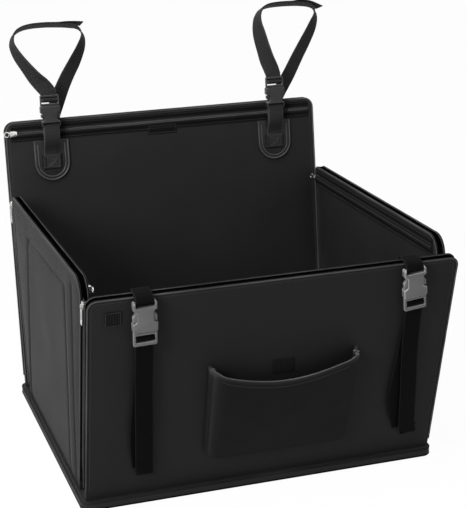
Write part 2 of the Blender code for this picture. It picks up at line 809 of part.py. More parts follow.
def doubled_route(middle, spreads, frame, size, turns):
    # both layers of a webbing loop: along a middle line, round the socket's bar and back;
    # a spread of 0 keeps the layers together, and 1 parts them as far as the bar does
    bar = bar_thickness / 2 - size["socket"]
    level = Vector((1, 0, 0))
    bar_across = buckle_across(frame)
    half = layer_step / 2
    front = []
    rear = []
    for index, point in enumerate(middle):
        before = middle[max(index - 1, 0)]
        after = middle[min(index + 1, len(middle) - 1)]
        along = (after - before).normalized()
        shift = Vector((0, along.z, -along.y)) * (half + (bar_reach - half) * spreads[index])
        across = level.lerp(bar_across, spreads[index])
        front.append((point + shift, across))
        rear.append((point - shift, across))
    around = []
    for step in range(bar_steps + 1):
        turn = math.radians(turns[0] + (turns[1] - turns[0]) * step / bar_steps)
        point = frame @ Vector((0, -bar_reach * math.cos(turn), bar + bar_reach * math.sin(turn)))
        around.append((point, bar_across))
    return front + around + rear[::-1]


def add_webbing(name, route, parent):
    add_object(name, ribbon(route, webbing_width, webbing_thickness), webbing_look, parent)


# Headrest straps, on the back wall's inner face


def head_buckle_frame(x):
    # the buckle faces the seat's inside, so it is turned half round from the wall's frame
    end = Matrix.Translation((x, head_bar_stand, back_height - head_bar_drop))
    lift = Matrix.Translation((0, 0, head_buckle["socket"]))
    return end @ turned(math.pi, "Z") @ turned(head_buckle_tilt, "X") @ lift


def make_patch(name, x, hinge):
    # a U-shaped patch with a raised rim, notched at its top, and a box over the webbing's sewn end
    top = back_height - patch_top_drop
    half = patch_width / 2
    centre_z = top - patch_length + half
    face = wall_thickness + touch_gap
    arc = []
    inner = []
    for step in range(9):
        turn = math.pi * step / 8
        arc.append((-half * math.cos(turn), centre_z - half * math.sin(turn)))
        small = half - patch_rim
        inner.append((-small * math.cos(turn), centre_z - small * math.sin(turn)))
    place = Matrix.Translation((x, 0, 0))
    patch = add_object(name, prism(arc + [(half, top), (-half, top)], face, face + patch_thickness),
                       lining, hinge, place)
    rim = arc + [(half, top), (half - patch_rim, top)] + inner[::-1]
    rim += [(patch_rim - half, top), (-half, top)]
    cut(patch, add_object(name + "_rim_maker",
                          prism(rim, face + patch_thickness / 2,
                                face + patch_thickness + patch_rim_height), None, hinge, place), "UNION")
    box_top = back_height - patch_box_drop
    box_low = box_top - patch_box_length
    box_half = patch_box_width / 2
    box = prism(rectangle(-box_half, box_half, box_low, box_top),
                face + patch_thickness / 2, face + stack_height + patch_box_wall)
    cut(patch, add_object(name + "_box_maker", box, None, hinge, place), "UNION")
    room_half = webbing_width / 2 + touch_gap
    room = prism(rectangle(-room_half, room_half, box_low + patch_box_wall, box_top + cut_overrun),
                 face - cut_overrun, face + stack_height)
    cut(patch, add_object(name + "_room_cutter", room, None, hinge, place))
    notch = prism(rectangle(-room_half, room_half, box_top, top + cut_overrun),
                  face - cut_overrun, face + stack_height + cut_overrun)
    cut(patch, add_object(name + "_notch_cutter", notch, None, hinge, place))


# Shares of the stub's middle line from the patch's box to the socket's bar: rise, depth and spread
stub_shares = [(-0.40, 0.0, 0.0), (0.0, 0.0, 0.0), (0.10, 0.07, 0.0), (0.24, 0.36, 0.0),
               (0.38, 0.74, 0.05), (0.54, 0.97, 0.35), (0.72, 1.03, 0.75), (0.88, 1.0, 1.0)]


def make_stub(name, x, hinge):
    # doubled webbing from under the patch's box, out over the zipper, round the socket's bar
    low_y = wall_thickness + touch_gap + stack_height / 2
    box_top = back_height - patch_box_drop
    rise = back_height - head_bar_drop + bar_thickness / 2 - box_top
    out = head_bar_stand - low_y
    middle = [Vector((x, low_y + out * depth, box_top + rise * height))
              for height, depth, spread in stub_shares]
    spreads = [spread for height, depth, spread in stub_shares]
    route = doubled_route(middle, spreads, head_buckle_frame(x), head_buckle, stub_turns)
    add_webbing(name, route, hinge)


# Shares along each loop from its sewn end to the adjuster: across, depth, height and quarter turn
left_loop_shares = [
    (-0.02, 0.0, -0.22, 0.0), (-0.03, 0.0, -0.14, 0.0), (-0.045, -0.05, -0.04, 0.0),
    (-0.075, -0.07, 0.03, 0.02), (-0.14, 0.06, 0.15, 0.10), (-0.22, 0.14, 0.29, 0.15),
    (-0.31, 0.22, 0.42, 0.22), (-0.42, 0.30, 0.555, 0.31), (-0.515, 0.38, 0.69, 0.50),
    (-0.55, 0.43, 0.785, 0.68), (-0.535, 0.46, 0.85, 0.79), (-0.47, 0.49, 0.898, 0.88),
    (-0.36, 0.53, 0.92, 0.95), (-0.20, 0.57, 0.932, 1.0), (-0.02, 0.61, 0.938, 1.0),
    (0.18, 0.66, 0.932, 1.0), (0.32, 0.71, 0.905, 1.0), (0.40, 0.76, 0.855, 0.99),
    (0.425, 0.80, 0.785, 0.95), (0.40, 0.84, 0.715, 0.86), (0.345, 0.88, 0.635, 0.75),
    (0.25, 0.92, 0.53, 0.62), (0.155, 0.96, 0.43, 0.40), (0.07, 0.99, 0.355, 0.12),
]
right_loop_shares = [
    (0.0, 0.0, -0.22, 0.0), (-0.03, 0.0, -0.14, 0.0), (-0.07, -0.05, -0.04, 0.0),
    (-0.11, -0.07, 0.03, 0.02), (-0.19, 0.06, 0.13, 0.10), (-0.30, 0.14, 0.26, 0.15),
    (-0.427, 0.22, 0.427, 0.21), (-0.555, 0.30, 0.587, 0.27), (-0.66, 0.38, 0.727, 0.38),
    (-0.715, 0.43, 0.84, 0.58), (-0.70, 0.47, 0.915, 0.76), (-0.63, 0.50, 0.962, 0.88),
    (-0.52, 0.53, 0.982, 0.95), (-0.36, 0.57, 0.99, 1.0), (-0.16, 0.62, 0.99, 1.0),
    (0.00, 0.66, 0.98, 1.0), (0.10, 0.70, 0.95, 0.96), (0.155, 0.74, 0.89, 0.92),
    (0.17, 0.78, 0.81, 0.82), (0.158, 0.83, 0.72, 0.66), (0.135, 0.87, 0.63, 0.57),
    (0.105, 0.91, 0.54, 0.52), (0.07, 0.95, 0.44, 0.38), (0.03, 0.99, 0.355, 0.12),
]
left_tip_shares = [(-0.33, 0.55, 0.951, 1.0), (-0.46, 0.52, 0.955, 1.0), (-0.55, 0.51, 0.955, 1.0)]
right_tip_shares = [(-0.45, 0.55, 1.01, 1.0), (-0.62, 0.53, 0.99, 0.97), (-0.79, 0.50, 0.935, 0.95)]


def make_loop(name, x, rows, tip, hinge):
    # one length of webbing: sewn behind the wall, up round the loop, round the adjuster's bar
    # and back over itself to a free tip; its width turns to lie front to back over the top
    ladder = ladder_route(head_buckle_frame(x), head_buckle)
    sewn_y = -touch_gap - webbing_half
    reach = ladder[0].y - sewn_y

    def place(row):
        return Vector((x + row[0] * loop_spread, sewn_y + row[1] * reach,
                       back_height + row[2] * loop_height))

    points = [place(row) for row in rows]
    top = max(range(len(rows)), key=lambda index: rows[index][2])
    toward = Vector((0, 1, 0))
    route = []
    tail = []
    for index, point in enumerate(points):
        turn = rows[index][3] * math.pi / 2
        level = Vector((1 if index < top else -1, 0, 0))
        across = toward * math.sin(turn) + level * math.cos(turn)
        route.append((point, across))
        before = points[max(index - 1, 0)]
        after = points[min(index + 1, len(points) - 1)]
        outer = (after - before).cross(across).normalized()
        tail.append((point + outer * layer_step, across))
    level = Vector((-1, 0, 0))
    route += [(point, level) for point in ladder]
    route += tail[:-tail_rows - 1:-1]
    for row in tip:
        turn = row[3] * math.pi / 2
        route.append((place(row), toward * math.sin(turn) + Vector((math.cos(turn), 0, 0))))
    add_webbing(name, route, hinge)


def make_head_strap(side, x, rows, tip):
    hinge = bodies["back_wall"]
    name = side + "_head_strap"
    make_patch(name + "_patch", x, hinge)
    make_stub(name + "_stub", x, hinge)
    frame = head_buckle_frame(x)
    make_socket(name + "_socket", head_buckle, hinge, frame)
    make_clip(name + "_clip", head_buckle, wall_frames["back_wall"] @ frame)
    make_loop(name + "_loop", x, rows, tip, hinge)


# Front straps, on the front wall's outer face


def front_buckle_frame(x, swing):
    # the buckle hangs with its clip downwards
    end = Matrix.Translation((x, -front_bar_stand, front_height - front_bar_drop))
    drop = Matrix.Translation((0, 0, front_buckle["socket"]))
    return end @ turned(math.pi - swing, "Y") @ turned(front_buckle_tilt, "X") @ drop


# Shares of the anchor's way from the rim to the socket's bar: depth, drop and spread
anchor_shares = [(0.45, 0.10, 0.1), (0.80, 0.40, 0.6)]


def make_anchor(name, x, swing, hinge):
    # doubled webbing sewn over the rim, round the socket's bar
    half = layer_step / 2
    frame = front_buckle_frame(x, swing)
    rim_z = front_height + piping_radius + touch_gap + webbing_half + half
    inner_y = wall_thickness + piping_stand + touch_gap + webbing_half + half
    bar = frame @ Vector((0, 0, bar_thickness / 2 - front_buckle["socket"]))
    edge = Vector((x, piping_radius, rim_z))
    middle = [Vector((x, inner_y, front_height - anchor_inner_drop)),
              Vector((x, inner_y, rim_z - anchor_bend)),
              Vector((x, inner_y - anchor_bend, rim_z)), edge]
    spreads = [0] * len(middle)
    for depth, drop, spread in anchor_shares:
        middle.append(Vector((x, edge.y + (bar.y - edge.y) * depth, edge.z + (bar.z - edge.z) * drop)))
        spreads.append(spread)
    add_webbing(name, doubled_route(middle, spreads, frame, front_buckle, anchor_turns), hinge)


# Shares of the hanging strap's two legs: height, sideways drift and stand off the wall
sewn_leg_shares = [(0.0, 0.40, 0.0), (0.06, 0.22, 0.10), (0.15, -0.12, 0.45), (0.27, -0.32, 0.70),
                   (0.42, -0.28, 0.85), (0.60, -0.15, 0.90), (0.80, -0.05, 0.85)]
free_leg_shares = [(0.82, 0.02, 1.30), (0.62, 0.15, 1.45), (0.42, 0.38, 1.35), (0.22, 0.60, 1.10),
                   (0.06, 0.80, 0.80)]


def make_tail(name, x, swing, drift, hinge):
    # the strap below the buckle: one leg sewn low on the wall, the other hanging free to its hem
    frame = front_buckle_frame(x, swing)
    ladder = ladder_route(frame, front_buckle)
    level = Vector((1, 0, 0))
    bar_across = buckle_across(frame)
    sewn_y = -touch_gap - webbing_half
    high = ladder[0]
    route = []
    for height, side, stand in sewn_leg_shares:
        point = Vector((high.x + side * drift, sewn_y + stand * (high.y - sewn_y),
                        sewn_end_height + height * (high.z - sewn_end_height)))
        route.append((point, level.lerp(bar_across, height * height)))
    route += [(point, bar_across) for point in ladder]
    free_y = sewn_y - webbing_thickness
    for height, side, stand in free_leg_shares:
        point = Vector((high.x + side * drift, free_y + stand * (high.y - sewn_y),
                        tail_hem_height + height * (high.z - tail_hem_height)))
        route.append((point, level.lerp(bar_across, height * height)))
    end = Vector((high.x + drift, point.y + hem_kick, tail_hem_height))
    fold = layer_step
    hem = [end, end + Vector((0, fold / 2, -fold / 2)), end + Vector((0, fold, 0)),
           end + Vector((0, fold, hem_length))]
    route += [(point, level) for point in hem]
    add_webbing(name, route, hinge)


def make_front_strap(side, x, swing, drift):
    hinge = bodies["front_wall"]
    name = side + "_front_strap"
    frame = front_buckle_frame(x, swing)
    make_anchor(name + "_anchor", x, swing, hinge)
    make_socket(name + "_socket", front_buckle, hinge, frame)
    make_clip(name + "_clip", front_buckle, wall_frames["front_wall"] @ frame)
    make_tail(name + "_tail", x, swing, drift, hinge)


# Pocket, sewn to the front wall's outer face, with a two-pleat gusset at each side

# Shares of a pleat's width and of the pocket's depth, along one gusset from the wall outwards
gusset_shares = [(0.0, 0.0), (-0.75, 0.18), (0.10, 0.42), (-0.75, 0.66), (0.0, 0.86)]
gusset_front_share = 0.86
panel_crown_share = 0.14
pleat_fade_share = 0.16       # of the width, over which the pleats' stack dies away at the seam


def pocket_section(rise):
    # (x, depth) points across the pocket at a share of its height, left to right
    half = pocket_width / 2
    edge_depth = pocket_seam_depth + (pocket_depth - pocket_seam_depth) * rise
    left = [(pleat_width * side - half, edge_depth * depth) for side, depth in gusset_shares]
    panel = []
    for column in range(1, pocket_columns):
        share = column / pocket_columns
        inward = min(share, 1 - share)
        fade = max(0, 1 - inward / pleat_fade_share)
        low = pocket_seam_depth * gusset_front_share * fade
        high = pocket_depth * (gusset_front_share + panel_crown_share * math.sin(math.pi * share))
        panel.append((pocket_width * share - half, low + (high - low) * rise))
    right = [(-x, depth) for x, depth in reversed(left)]
    return left + panel + right


def make_pocket():
    hinge = bodies["front_wall"]
    shape = bmesh.new()
    rows = []
    for row in range(pocket_rows + 1):
        rise = row / pocket_rows
        ring = []
        for x, depth in pocket_section(math.sqrt(rise)):
            share = min(max(x / pocket_width + 0.5, 0), 1)
            sag = pocket_sag * math.sin(math.pi * share) * rise * rise
            z = pocket_foot + pocket_height * rise - sag
            ring.append(shape.verts.new((pocket_x + x, -touch_gap - pocket_cloth / 2 - depth, z)))
        rows.append(ring)
    for ring, above in zip(rows, rows[1:]):
        for column in range(len(ring) - 1):
            shape.faces.new((ring[column], ring[column + 1], above[column + 1], above[column]))
    pocket = add_object("front_pocket", shape, cloth, hinge, smooth=True)
    shell = pocket.modifiers.new("Cloth", "SOLIDIFY")
    shell.thickness = pocket_cloth
    shell.offset = 0
    low = tape_patch_top - tape_patch_height
    outline = rectangle(-tape_patch_width / 2, tape_patch_width / 2, low, tape_patch_top)
    add_object("pocket_hook_patch", prism(outline, -touch_gap - tape_patch_thickness, -touch_gap),
               lining, hinge, Matrix.Translation((pocket_x, 0, 0)))


clear_scene()
make_base()
for wall_name in wall_frames:
    make_wall(wall_name)
    make_board_zipper(wall_name)
make_corner("front_left", "left_wall", "front_wall", front_lean, 1)
make_corner("back_left", "left_wall", "back_wall", back_lean, -1)
make_corner("front_right", "right_wall", "front_wall", front_lean, -1)
make_corner("back_right", "right_wall", "back_wall", back_lean, 1)
make_head_strap("left", head_strap_x, left_loop_shares, left_tip_shares)
make_head_strap("right", -head_strap_x, right_loop_shares, right_tip_shares)
make_front_strap("left", front_left_x, front_left_swing, front_left_drift)
make_front_strap("right", front_right_x, front_right_swing, front_right_drift)
make_pocket()
bpy.context.view_layer.update()
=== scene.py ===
import json
import math

import bmesh
import bpy
from mathutils import Matrix, Vector, noise

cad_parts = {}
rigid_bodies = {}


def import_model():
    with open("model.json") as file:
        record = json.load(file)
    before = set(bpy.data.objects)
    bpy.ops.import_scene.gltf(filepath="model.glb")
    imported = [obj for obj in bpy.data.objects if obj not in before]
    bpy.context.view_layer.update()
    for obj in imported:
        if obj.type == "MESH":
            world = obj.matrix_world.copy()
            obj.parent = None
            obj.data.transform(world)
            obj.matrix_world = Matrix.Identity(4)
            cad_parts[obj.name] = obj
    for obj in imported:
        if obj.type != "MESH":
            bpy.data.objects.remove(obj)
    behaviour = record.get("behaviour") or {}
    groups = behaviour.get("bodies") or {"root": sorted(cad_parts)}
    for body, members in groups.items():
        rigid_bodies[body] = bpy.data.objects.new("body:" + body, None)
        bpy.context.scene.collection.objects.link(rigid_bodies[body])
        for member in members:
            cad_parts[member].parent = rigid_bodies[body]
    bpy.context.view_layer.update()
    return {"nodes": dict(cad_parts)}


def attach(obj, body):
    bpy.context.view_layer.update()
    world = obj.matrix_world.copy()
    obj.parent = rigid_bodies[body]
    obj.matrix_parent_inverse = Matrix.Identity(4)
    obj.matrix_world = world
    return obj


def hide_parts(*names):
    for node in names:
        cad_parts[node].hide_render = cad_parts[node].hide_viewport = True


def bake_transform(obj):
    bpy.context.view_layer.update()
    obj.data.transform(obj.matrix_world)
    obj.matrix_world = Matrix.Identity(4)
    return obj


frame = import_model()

mm = 0.001

# The camera stands where the photograph was taken from
view = {
    "azimuth": math.radians(-18.48),
    "elevation": math.radians(19.05),
    "roll": math.radians(-0.45),
    "distance": 2.2,
    "lens": 107.93,
    "slide": (0.02567, 0.10449),
    "target": Vector((0, 0, 0.15)),
}


def addCamera():
    flat = math.cos(view["elevation"])
    back = Vector((math.sin(view["azimuth"]) * flat, -math.cos(view["azimuth"]) * flat,
                   math.sin(view["elevation"])))
    right = Vector((0, 0, 1)).cross(back).normalized()
    up = back.cross(right)
    turn = Matrix.Rotation(view["roll"], 3, back)
    right, up = turn @ right, turn @ up
    place = view["target"] + back * view["distance"] + right * view["slide"][0] + up * view["slide"][1]
    camera = bpy.data.objects.new("camera", bpy.data.cameras.new("camera"))
    camera.data.lens = view["lens"]
    camera.data.sensor_width = 36
    camera.matrix_world = Matrix.Translation(place) @ Matrix((right, up, back)).transposed().to_4x4()
    bpy.context.scene.collection.objects.link(camera)
    bpy.context.scene.camera = camera


addCamera()
print("camera placed")


# Finishes: a material is a Finish, and its sums are written with Tap

class Tap:
    # one socket of a shader node, which can stand in sums
    def __init__(self, finish, socket):
        self.finish = finish
        self.socket = socket

    def sum(self, operation, first, second=0.0):
        node = self.finish.node("ShaderNodeMath", {"operation": operation}, {0: first, 1: second})
        return Tap(self.finish, node.outputs[0])

    def __add__(self, other):
        return self.sum("ADD", self, other)

    def __radd__(self, other):
        return self.sum("ADD", other, self)

    def __sub__(self, other):
        return self.sum("SUBTRACT", self, other)

    def __mul__(self, other):
        return self.sum("MULTIPLY", self, other)

    def __abs__(self):
        return self.sum("ABSOLUTE", self)

    def fading(self, reach):
        return self.sum("EXPONENT", self * (-1 / reach))

    def wave(self, pitch):
        return self.sum("SINE", self * (2 * math.pi / pitch))

    def above(self, level):
        return self.sum("GREATER_THAN", self, level)

    def clamped(self):
        return self.sum("MINIMUM", self.sum("MAXIMUM", self, 0.0), 1.0)


class Finish:
    def __init__(self, name, shader, world=None):
        self.material = world or bpy.data.materials.new(name)
        self.material.use_nodes = True
        self.tree = self.material.node_tree
        self.shader = self.tree.nodes["Background" if world else "Principled BSDF"]
        for socket, value in shader.items():
            self.shader.inputs[socket].default_value = value
        self.coordinates = self.node("ShaderNodeTexCoord")

    def node(self, kind, settings=None, sockets=None):
        made = self.tree.nodes.new(kind)
        for key, value in (settings or {}).items():
            setattr(made, key, value)
        for key, value in (sockets or {}).items():
            if isinstance(value, Tap):
                self.tree.links.new(value.socket, made.inputs[key])
            else:
                made.inputs[key].default_value = value
        return made

    def tap(self, node, socket=0):
        return Tap(self, node.outputs[socket])

    def apart(self, place):
        # the coordinates of a place, each by itself
        parts = self.node("ShaderNodeSeparateXYZ", {}, {0: place})
        return [self.tap(parts, axis) for axis in range(3)]

    def along(self, source):
        return self.apart(self.tap(self.coordinates, source))

    def grain(self, scale, detail, stretch=(1, 1, 1), source="Object"):
        spread = self.node("ShaderNodeMapping", {}, {0: self.tap(self.coordinates, source),
                                                      "Scale": stretch})
        made = self.node("ShaderNodeTexNoise", {}, {"Vector": self.tap(spread), "Scale": scale,
                                                     "Detail": detail, "Roughness": 0.55})
        return self.tap(made)

    def cells(self, scale):
        made = self.node("ShaderNodeTexVoronoi", {},
                         {"Vector": self.tap(self.coordinates, "Object"), "Scale": scale})
        return self.tap(made, "Distance")

    def wear_and_painted_light(self):
        # the stored mark of real wear and of painted highlight
        return self.tap(self.node("ShaderNodeAttribute", {"attribute_name": "wear_and_painted_light"}), "Fac")

    def edges(self):
        # how far a place on a wall is from its ends, its top and its foot
        stored = self.node("ShaderNodeAttribute", {"attribute_name": "edges"})
        return self.apart(self.tap(stored, "Vector"))

    def blend(self, share, first, second):
        made = self.node("ShaderNodeMix", {"data_type": "RGBA"}, {0: share, 6: first, 7: second})
        return Tap(self, made.outputs[2])

    def paint(self, **sockets):
        for name, value in sockets.items():
            self.tree.links.new(value.socket, self.shader.inputs[name.replace("_", " ")])

    def backdropRays(self):
        # the rays from the camera, and all that should see the white background
        path = self.node("ShaderNodeLightPath")
        rays = [self.tap(path, f"Is {kind} Ray") for kind in ("Camera", "Glossy", "Transmission")]
        return rays[0], (rays[0] + rays[1] + rays[2]).clamped()

    def shown(self, share, first, second):
        # a mix of two shaders as the material's or world's surface
        mixed = self.node("ShaderNodeMixShader", {}, {0: share, 1: self.tap(first), 2: self.tap(second)})
        output = next(node for node in self.tree.nodes if node.type.startswith("OUTPUT"))
        self.tree.links.new(mixed.outputs[0], output.inputs[0])

    def relief(self, height, strength, depth, swell=None):
        # fine relief, laid over a broad swell in millimetres where there is one
        bump = self.node("ShaderNodeBump", {}, {"Strength": strength, "Distance": depth, "Height": height})
        if swell is not None:
            broad = self.node("ShaderNodeBump", {}, {"Strength": 1.0, "Distance": mm, "Height": swell})
            self.tree.links.new(broad.outputs[0], bump.inputs["Normal"])
        self.tree.links.new(bump.outputs[0], self.shader.inputs["Normal"])


def grey(level, warm=0.0):
    return (level * (1 + warm), level, level * (1 - warm), 1)


# How far the cloth's roll reaches from a wall's ends, top and foot, and its fall in millimetres
wallRolls = ((28 * mm, 5.0), (32 * mm, 8.0), (12 * mm, 1.6))


def wovenCloth(name, settings):
    # coated cloth: a plain weave under a thin matt coat, paler where points are marked: real wear along
    # the wall and base edges, painted highlight on the piping, painted light on the pocket
    finish = Finish(name, {"Sheen Weight": settings["sheen"], "Sheen Roughness": 0.45,
                           "Specular IOR Level": settings["gloss"]})
    across, up, _ = finish.along("UV")
    weave = across.wave(settings["pitch"]) * up.wave(settings["pitch"])
    cloud = finish.grain(9, 5)
    slub = finish.grain(2400, 2, stretch=(1, 0.06, 0.06), source="UV")
    wearAndPaintedLight = (finish.wear_and_painted_light() * (cloud * 1.6)).clamped()
    base = finish.blend(cloud, grey(settings["dark"]), grey(settings["light"]))
    finish.paint(Base_Color=finish.blend(wearAndPaintedLight, base, grey(settings["wearAndPaintedLight"])),
                 Roughness=settings["roughness"] + (cloud - 0.5) * 0.22 - wearAndPaintedLight * 0.06)
    ends, top, foot = finish.edges()
    swell = finish.grain(14, 3) * 1.4 + finish.grain(5, 2, stretch=(1, 1, 0.4)) * 3.0
    for distance, (reach, fall) in zip((ends, top, foot), wallRolls):
        swell = swell - distance.fading(reach) * fall
    finish.relief(weave * 0.55 + slub * 0.5 + finish.grain(60, 3) * 0.9, 0.55, settings["relief"], swell)
    return finish.material


def ribbedTape(name, settings):
    # webbing and woven tape: ribs across, a herringbone along, and a darker woven edge
    finish = Finish(name, {"Sheen Weight": settings["sheen"], "Specular IOR Level": settings["gloss"]})
    across, length, _ = finish.along("UV")
    rib = length.wave(settings["rib"])
    zigzag = abs(across.wave(settings["repeat"])) * 0.9 * settings["rib"]
    slant = (zigzag + length).wave(settings["rib"] * 0.5)
    edge = abs(across * (2 / settings["width"])).above(settings["edgeShare"])
    cloud = finish.grain(22, 4)
    tone = (rib * 0.22 + slant * 0.16 + cloud * 0.7).clamped()
    base = finish.blend(tone, grey(settings["dark"]), grey(settings["light"]))
    finish.paint(Base_Color=finish.blend(edge, base, grey(settings["edge"])),
                 Roughness=0.66 + (cloud - 0.5) * 0.2)
    finish.relief(rib * 0.6 + slant * 0.4 - edge * 0.6, 0.8, settings["relief"])
    return finish.material


def mouldedPlastic(name, dark, light, edgeHighlight):
    # the last tone is a painted highlight on the bevelled faces
    finish = Finish(name, {"Specular IOR Level": 0.4})
    spark = finish.grain(900, 2)
    cloud = finish.grain(40, 4)
    base = finish.blend(cloud, grey(dark), grey(light))
    finish.paint(Base_Color=finish.blend(finish.wear_and_painted_light() * 0.75, base, grey(edgeHighlight)),
                 Roughness=0.34 + cloud * 0.16)
    finish.relief(spark * 0.5 + finish.cells(1500) * 0.5, 0.35, 0.00006)
    return finish.material


def platedMetal():
    finish = Finish("plated_metal", {"Metallic": 1.0})
    brush = finish.grain(1500, 3, stretch=(1, 1, 0.05))
    cloud = finish.grain(160, 4)
    finish.paint(Base_Color=finish.blend(cloud, grey(0.50, 0.02), grey(0.72, 0.01)),
                 Roughness=0.10 + brush * 0.10 + cloud * 0.12)
    finish.relief(brush * 0.4 + cloud * 0.6, 0.25, 0.00004)
    return finish.material


def pressedLeather():
    # smooth coated patch with a fine pressed grain; its pale tone is a painted highlight on the rims'
    # crests
    finish = Finish("pressed_patch", {"Specular IOR Level": 0.22})
    pores = finish.cells(1300)
    cloud = finish.grain(45, 4)
    wearAndPaintedLight = (finish.wear_and_painted_light() * (cloud * 1.5)).clamped()
    base = finish.blend(cloud, grey(0.007), grey(0.014))
    finish.paint(Base_Color=finish.blend(wearAndPaintedLight, base, grey(0.16)),
                 Roughness=0.30 + cloud * 0.2)
    finish.relief(pores * 0.6 + cloud * 0.4, 0.5, 0.00012)
    return finish.material


def hookTape():
    finish = Finish("hook_tape", {"Sheen Weight": 0.03, "Specular IOR Level": 0.1})
    hooks = finish.cells(1100)
    rib = finish.along("Object")[0].wave(3.4 * mm)
    cloud = finish.grain(70, 4)
    finish.paint(Base_Color=finish.blend((hooks * 1.2 + rib * 0.5).clamped(), grey(0.009), grey(0.002)),
                 Roughness=0.7 + cloud * 0.2)
    finish.relief(rib * 0.5 - hooks, 0.9, 0.0005)
    return finish.material


def nylonCoil():
    finish = Finish("nylon_coil", {"Specular IOR Level": 0.3})
    cloud = finish.grain(300, 3)
    finish.paint(Base_Color=finish.blend(cloud, grey(0.006), grey(0.015)), Roughness=0.26 + cloud * 0.2)
    finish.relief(cloud, 0.3, 0.00005)
    return finish.material


def sewingThread():
    finish = Finish("sewing_thread", {"Sheen Weight": 0.2, "Specular IOR Level": 0.35})
    twist = finish.grain(3000, 2)
    finish.paint(Base_Color=finish.blend(twist, grey(0.012), grey(0.040)), Roughness=0.45 + twist * 0.2)
    finish.relief(twist, 0.5, 0.0001)
    return finish.material


def hollowBoard():
    finish = Finish("hollow_board", {"Specular IOR Level": 0.4})
    flute = finish.along("Object")[0].wave(5 * mm)
    cloud = finish.grain(30, 4)
    finish.paint(Base_Color=finish.blend((cloud + flute * 0.15).clamped(), grey(0.045), grey(0.075)),
                 Roughness=0.55 + cloud * 0.2)
    finish.relief(flute, 0.4, 0.0002)
    return finish.material


coverLook = {"pitch": 0.62 * mm, "dark": 0.0105, "light": 0.0165, "wearAndPaintedLight": 0.034, "roughness": 0.56,
             "relief": 0.0002, "sheen": 0.0, "gloss": 0.11}
# the piping's pale tone is a painted highlight on its beads
bindingLook = {"pitch": 0.5 * mm, "dark": 0.003, "light": 0.006, "wearAndPaintedLight": 0.14, "roughness": 0.5,
               "relief": 0.00015, "sheen": 0.0, "gloss": 0.02}
# the cover cloth drawn darker for the pocket as painted shade; its pale tone is painted light on the
# pocket's left side
shadedPocketLook = dict(coverLook, dark=0.0034, light=0.0062, wearAndPaintedLight=0.055, gloss=0.08)
# one webbing given twice: this shaded copy for the front straps, with painted shade in its dark tones, and
# a lit copy for the head loops
shadedWebbingLook = {"rib": 1.9 * mm, "repeat": 6 * mm, "width": 24 * mm, "edgeShare": 0.9, "dark": 0.0014,
             "light": 0.0040, "edge": 0.010, "relief": 0.0003, "sheen": 0.0, "gloss": 0.04}
zipTapeLook = {"rib": 1.0 * mm, "repeat": 2.4 * mm, "width": 24 * mm, "edgeShare": 0.96, "dark": 0.004,
               "light": 0.010, "edge": 0.006, "relief": 0.0002, "sheen": 0.0, "gloss": 0.03}
# the rim tape is black, and drawn darker still as painted shade at the wall ends beside the corner zippers
darkTapeAndShadeLook = {"rib": 1.5 * mm, "repeat": 3 * mm, "width": 9 * mm, "edgeShare": 0.86, "dark": 0.0006,
           "light": 0.002, "edge": 0.001, "relief": 0.0004, "sheen": 0.0, "gloss": 0.0}
# the lit copy of the same webbing
litWebbingLook = dict(shadedWebbingLook, dark=0.014, light=0.036, edge=0.055, gloss=0.15)
looks = {
    "cover": wovenCloth("coated_cloth", coverLook),
    "binding": wovenCloth("piping_cloth", bindingLook),
    "pocket": wovenCloth("shaded_pocket_cloth", shadedPocketLook),
    "strap": ribbedTape("shaded_strap_webbing", shadedWebbingLook),
    "loop": ribbedTape("lit_loop_webbing", litWebbingLook),
    "zipTape": ribbedTape("zipper_tape", zipTapeLook),
    "rim": ribbedTape("rim_tape", darkTapeAndShadeLook),
    # the same buckle plastic twice: a lit copy for the front buckles and a shaded copy for the head
    # buckles
    "plastic": mouldedPlastic("buckle_plastic", 0.115, 0.165, 0.40),
    "shadedPlastic": mouldedPlastic("shaded_buckle_plastic", 0.008, 0.014, 0.10),
    "metal": platedMetal(),
    "patch": pressedLeather(),
    "hook": hookTape(),
    "coil": nylonCoil(),
    "thread": sewingThread(),
    "board": hollowBoard(),
}
print("finishes made")


# Making pieces

def turned(angle, axis):
    return Matrix.Rotation(angle, 4, axis)


def addPiece(name, shape, look, body, place=None, stands=(), sharp=50):
    # place is where the shape's own frame lies; the piece's mesh carries it
    mesh = meshOf(shape) if isinstance(shape, bmesh.types.BMesh) else shape
    mesh.name = name
    if place is not None:
        mesh.transform(place)
    mesh.materials.clear()
    mesh.materials.append(looks[look])
    mesh.shade_smooth()
    mesh.set_sharp_from_angle(angle=math.radians(sharp))
    piece = bpy.data.objects.new(name, mesh)
    bpy.context.scene.collection.objects.link(piece)
    if body is not None:
        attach(piece, body)
    if stands:
        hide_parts(*stands)
    return piece


def gridShape(columns, rows, place, size=None):
    # a grid of cloth laid by place(u, v); with a size its UVs are metres along and across
    shape = bmesh.new()
    uv = shape.loops.layers.uv.new("UVMap")
    bmesh.ops.create_grid(shape, x_segments=columns, y_segments=rows, size=0.5)
    if size is not None:
        for face in shape.faces:
            for loop in face.loops:
                loop[uv].uv = (loop.vert.co.x * size[0], (loop.vert.co.y + 0.5) * size[1])
    for vert in shape.verts:
        vert.co = place(vert.co.x + 0.5, vert.co.y + 0.5)
    return shape


def flatUvs(shape):
    # UVs in metres, each face seen straight on
    uv = shape.loops.layers.uv.verify()
    for face in shape.faces:
        size = [abs(part) for part in face.normal]
        for loop in face.loops:
            x, y, z = loop.vert.co
            if size[1] >= max(size[0], size[2]):
                loop[uv].uv = (x, z)
            elif size[0] >= size[2]:
                loop[uv].uv = (y, z)
            else:
                loop[uv].uv = (x, y)


def finishBoard(node):
    # a board keeps its own form, under its cover
    materials = frame["nodes"][node].data.materials
    materials.clear()
    materials.append(looks["board"])


